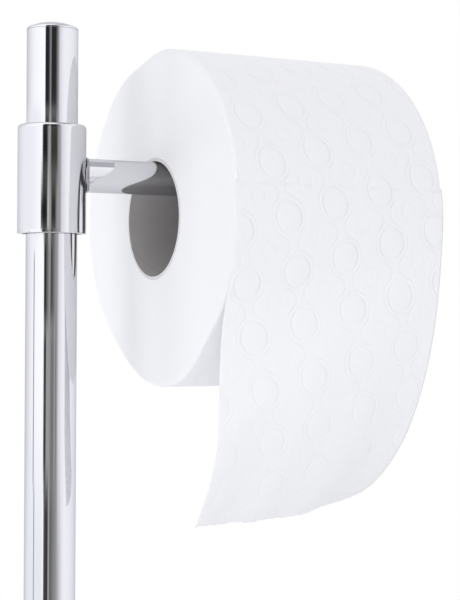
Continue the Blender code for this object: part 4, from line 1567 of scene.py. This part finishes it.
@dataclass
class Studio:
    """The camera, the floor, the lamps and what the metal reflects."""

    image_width: int = 460
    image_height: int = 600
    focal_pixels: float = 1535.139
    sensor: float = 36.0
    camera_place: tuple[float, float, float] = (-0.212298, -0.531488, 0.601074)
    yaw: float = 0.496
    pitch: float = 0.002
    roll: float = -0.006
    clip: tuple[float, float] = (0.01, 50.0)
    floor_radius: float = 1.2
    floor_drop: float = 0.0004
    floor_fade: tuple[float, float] = (0.35, 1.1)
    floor_colour: Colour = (0.88, 0.88, 0.885)
    floor_roughness: float = 0.8
    ambient: Colour = (0.978, 0.973, 0.973)
    ambient_below: Colour = (0.15, 0.15, 0.15)
    ambient_levels: tuple[float, float] = (-0.45, 0.15)
    reflected: Colour = (1.22, 1.215, 1.26)
    lamp_aim: tuple[float, float, float] = (0.04, 0.0, 0.55)
    lamps: tuple[Lamp, ...] = (
        Lamp("side_panel", -42.0, -10.0, 1.4, 0.5, 3.0),
        Lamp("left_panel", -80.0, -20.0, 1.1, 0.6, 0.98),
        Lamp("rear_panel", -135.0, -20.0, 1.1, 0.6, 3.1),
        Lamp("low_panel", 10.0, -24.0, 1.0, 0.6, 1.78),
    )
    cards: tuple[Card, ...] = (
        Card(123.0, 241.6, 60.0, 48.0, -90.0, 90.0, (0.905, 0.92, 0.98)),
        Card(-87.0, -29.0, 47.7, 0.8, -90.0, 90.0, (1.365, 1.392, 1.39)),
        Card(-133.0, -55.0, 88.0, 28.4, 2.2, 6.9, (1.165, 1.174, 1.23), 0.4),
        Card(-133.0, -34.9, 24.0, 0.7, -90.0, -7.0, (1.125, 1.15, 1.20), 4.0),
        Card(23.4, 39.0, 2.9, 18.9, -90.0, 90.0, (0.83, 0.824, 0.865)),
        Card(19.2, 38.3, 0.4, 32.0, -62.0, -7.5, (0.34, 0.34, 0.37), 4.0),
        Card(-29.4, 30.3, 0.4, 4.4, -62.0, 48.0, (0.444, 0.444, 0.44), 6.0),
        Card(-31.6, -13.7, 1.6, 2.4, 6.9, 46.0, (0.021, 0.025, 0.035)),
        Card(-14.4, -9.2, 1.0, 1.4, 6.9, 46.0, (0.118, 0.121, 0.123)),
        Card(-5.4, 21.7, 3.1, 8.7, 6.9, 46.0, (0.030, 0.029, 0.032)),
        Card(-31.3, -13.5, 2.3, 3.9, 4.4, 6.9, (0.013, 0.016, 0.019), 0.8),
        Card(-3.7, 19.4, 2.7, 5.6, 4.4, 6.9, (0.053, 0.051, 0.051), 0.8),
        Card(-36.2, -15.2, 2.0, 1.7, 2.2, 4.4, (0.011, 0.013, 0.016), 0.8),
        Card(-1.5, 14.7, 2.8, 5.8, 2.2, 4.4, (0.039, 0.038, 0.038), 0.8),
        Card(-13.2, -9.2, 1.0, 2.1, 2.2, 4.4, (0.726, 0.726, 0.71), 0.8),
        Card(-32.5, -15.4, 2.3, 14.0, -1.0, 2.2, (0.016, 0.018, 0.020), 0.6),
        Card(-3.3, 13.3, 0.7, 13.9, -1.0, 2.2, (0.093, 0.092, 0.090), 0.6),
        Card(-32.3, -21.0, 3.0, 0.7, -7.0, -1.0, (0.054, 0.059, 0.063), 1.0),
        Card(-2.7, 13.3, 6.9, 1.1, -7.0, -1.0, (0.245, 0.248, 0.235), 1.0),
        Card(20.3, 22.5, 0.5, 0.6, -7.0, -1.0, (0.128, 0.126, 0.140), 1.0),
        Card(-27.0, -9.5, 6.0, 1.5, -60.0, -7.0, (0.057, 0.057, 0.064), 1.0),
        Card(-2.5, 14.9, 1.0, 19.9, -60.0, -7.0, (0.165, 0.165, 0.160), 1.0),
        Card(-84.6, -79.2, 0.7, 0.7, -7.0, 1.6, (0.42, 0.43, 0.48), 0.4),
        Card(-79.0, -74.0, 0.7, 0.7, -40.0, -7.0, (0.42, 0.43, 0.48), 0.4),
        Card(45.0, 150.0, 10.0, 10.0, 53.0, 90.0, (0.58, 0.58, 0.625), 1.0),
    )

    def build(self) -> None:
        """Build the whole studio."""
        bpy.context.scene.view_settings.view_transform = "Standard"
        self.camera()
        self.world()
        self.floor()
        for lamp in self.lamps:
            self.hang(lamp)

    def basis(self) -> tuple[Vector, Vector, Vector]:
        """Return the camera's right, down and looking directions."""
        look = Vector((math.sin(self.yaw) * math.cos(self.pitch),
                       math.cos(self.yaw) * math.cos(self.pitch), -math.sin(self.pitch)))
        right = Vector((math.cos(self.yaw), -math.sin(self.yaw), 0.0))
        down = look.cross(right)
        turned = right * math.cos(self.roll) + down * math.sin(self.roll)
        return turned, look.cross(turned), look

    def camera(self) -> None:
        """Place the camera at the photograph's viewpoint."""
        right, down, look = self.basis()
        data = bpy.data.cameras.new("camera")
        data.sensor_width = self.sensor
        data.lens = self.focal_pixels * self.sensor / max(self.image_width, self.image_height)
        data.clip_start, data.clip_end = self.clip
        turn = Matrix((right, -down, -look)).transposed().to_4x4()
        bpy.context.scene.camera = linked("camera", data, Matrix.Translation(self.camera_place) @ turn)

    def compass(self) -> float:
        """Return the world angle, in radians, from the post towards the camera."""
        return math.atan2(self.camera_place[1], self.camera_place[0])

    def world(self) -> None:
        """Build the surroundings: white behind, soft light, and panels seen by the metal."""
        world = bpy.data.worlds.new("studio")
        bpy.context.scene.world = world
        world.use_nodes = True
        graph = Graph(world.node_tree)
        x, y, z = graph.split(graph.coordinates("Generated"))
        turned = y.join("ARCTAN2", x) - self.compass()
        level = z.join("ARCSINE")
        seen: object = self.reflected
        for card in self.cards:
            seen = graph.blend(self.panel(graph, turned, level, card), seen, card.colour)
        below = graph.ramp(z, *self.ambient_levels, 1.0, 0.0)
        soft = graph.blend(below, self.ambient, self.ambient_below)
        lit = graph.blend(graph.rays("Glossy"), soft, seen)
        shown = graph.blend(graph.rays("Camera", "Transmission"), lit, WHITE)
        graph.feed(world.node_tree.nodes["Background"].inputs["Color"], shown)

    def panel(self, graph: Graph, turned: Wire, level: Wire, card: Card) -> Wire:
        """Return where a card shows, as a mask with soft sides."""
        middle = math.radians(card.start + card.end) / 2
        half = math.radians(card.end - card.start) / 2
        apart = (turned - middle).join("WRAP", math.pi, -math.pi)
        soft_start, soft_end = math.radians(card.soft_start), math.radians(card.soft_end)
        low, high, edge = (math.radians(part) for part in (card.low, card.high, card.soft_level))
        left = graph.ramp(apart, -half - soft_start, -half + soft_start)
        right = graph.ramp(apart, half - soft_end, half + soft_end, 1.0, 0.0)
        above = graph.ramp(level, low - edge, low + edge)
        below = graph.ramp(level, high - edge, high + edge, 1.0, 0.0)
        return left * right * above * below

    def floor(self) -> None:
        """Build the pale floor, which turns to the white background away from the stand."""
        shape = bmesh.new()
        bmesh.ops.create_circle(shape, cap_ends=True, segments=MEDIUM_TURN, radius=self.floor_radius,
                                matrix=Matrix.Translation((0.0, 0.0, -self.floor_drop)))
        mesh = bpy.data.meshes.new("floor")
        shape.to_mesh(mesh)
        shape.free()
        material = bpy.data.materials.new("pale_floor")
        material.use_nodes = True
        graph = Graph(material.node_tree)
        shader = material.node_tree.nodes["Principled BSDF"]
        shader.inputs["Base Color"].default_value = opaque(self.floor_colour)
        shader.inputs["Roughness"].default_value = self.floor_roughness
        shader.inputs["Specular IOR Level"].default_value = 0.0
        x, y, _ = graph.split(graph.coordinates())
        away = graph.ramp(root_of(x * x + y * y), *self.floor_fade) * graph.rays("Camera", "Glossy")
        glow = graph.node("ShaderNodeEmission", {"Color": opaque(WHITE), "Strength": 1.0})
        mixed = graph.node("ShaderNodeMixShader", {0: away, 1: shader.outputs[0], 2: glow.outputs[0]})
        output = material.node_tree.nodes["Material Output"]
        graph.feed(output.inputs["Surface"], mixed.outputs[0])
        mesh.materials.append(material)
        linked("floor", mesh)

    def hang(self, lamp: Lamp) -> None:
        """Add a lamp that shines at the middle of the stand's top."""
        angle, height = self.compass() + math.radians(lamp.turned), math.radians(lamp.raised)
        way = round_the_axis(angle, math.cos(height), math.sin(height))
        data = bpy.data.lights.new(lamp.name, "AREA")
        data.shape = "SQUARE"
        data.size = lamp.size
        data.energy = lamp.power
        turn = way.to_track_quat("Z", "Y").to_matrix().to_4x4()
        matrix = Matrix.Translation(Vector(self.lamp_aim) + way * lamp.away) @ turn
        linked(lamp.name, data, matrix).visible_glossy = False


def main() -> None:
    """Build the studio and the stand."""
    logging.basicConfig(level=logging.INFO, format="%(message)s")
    Studio().build()
    for assembly in (WeightedBase, Post, Holder, PaperRoll, HangingEnd, BrushCup, ToiletBrush):
        assembly().build()
        log.info("%s is built", assembly.__name__)


if __name__ == "__main__":
    main()
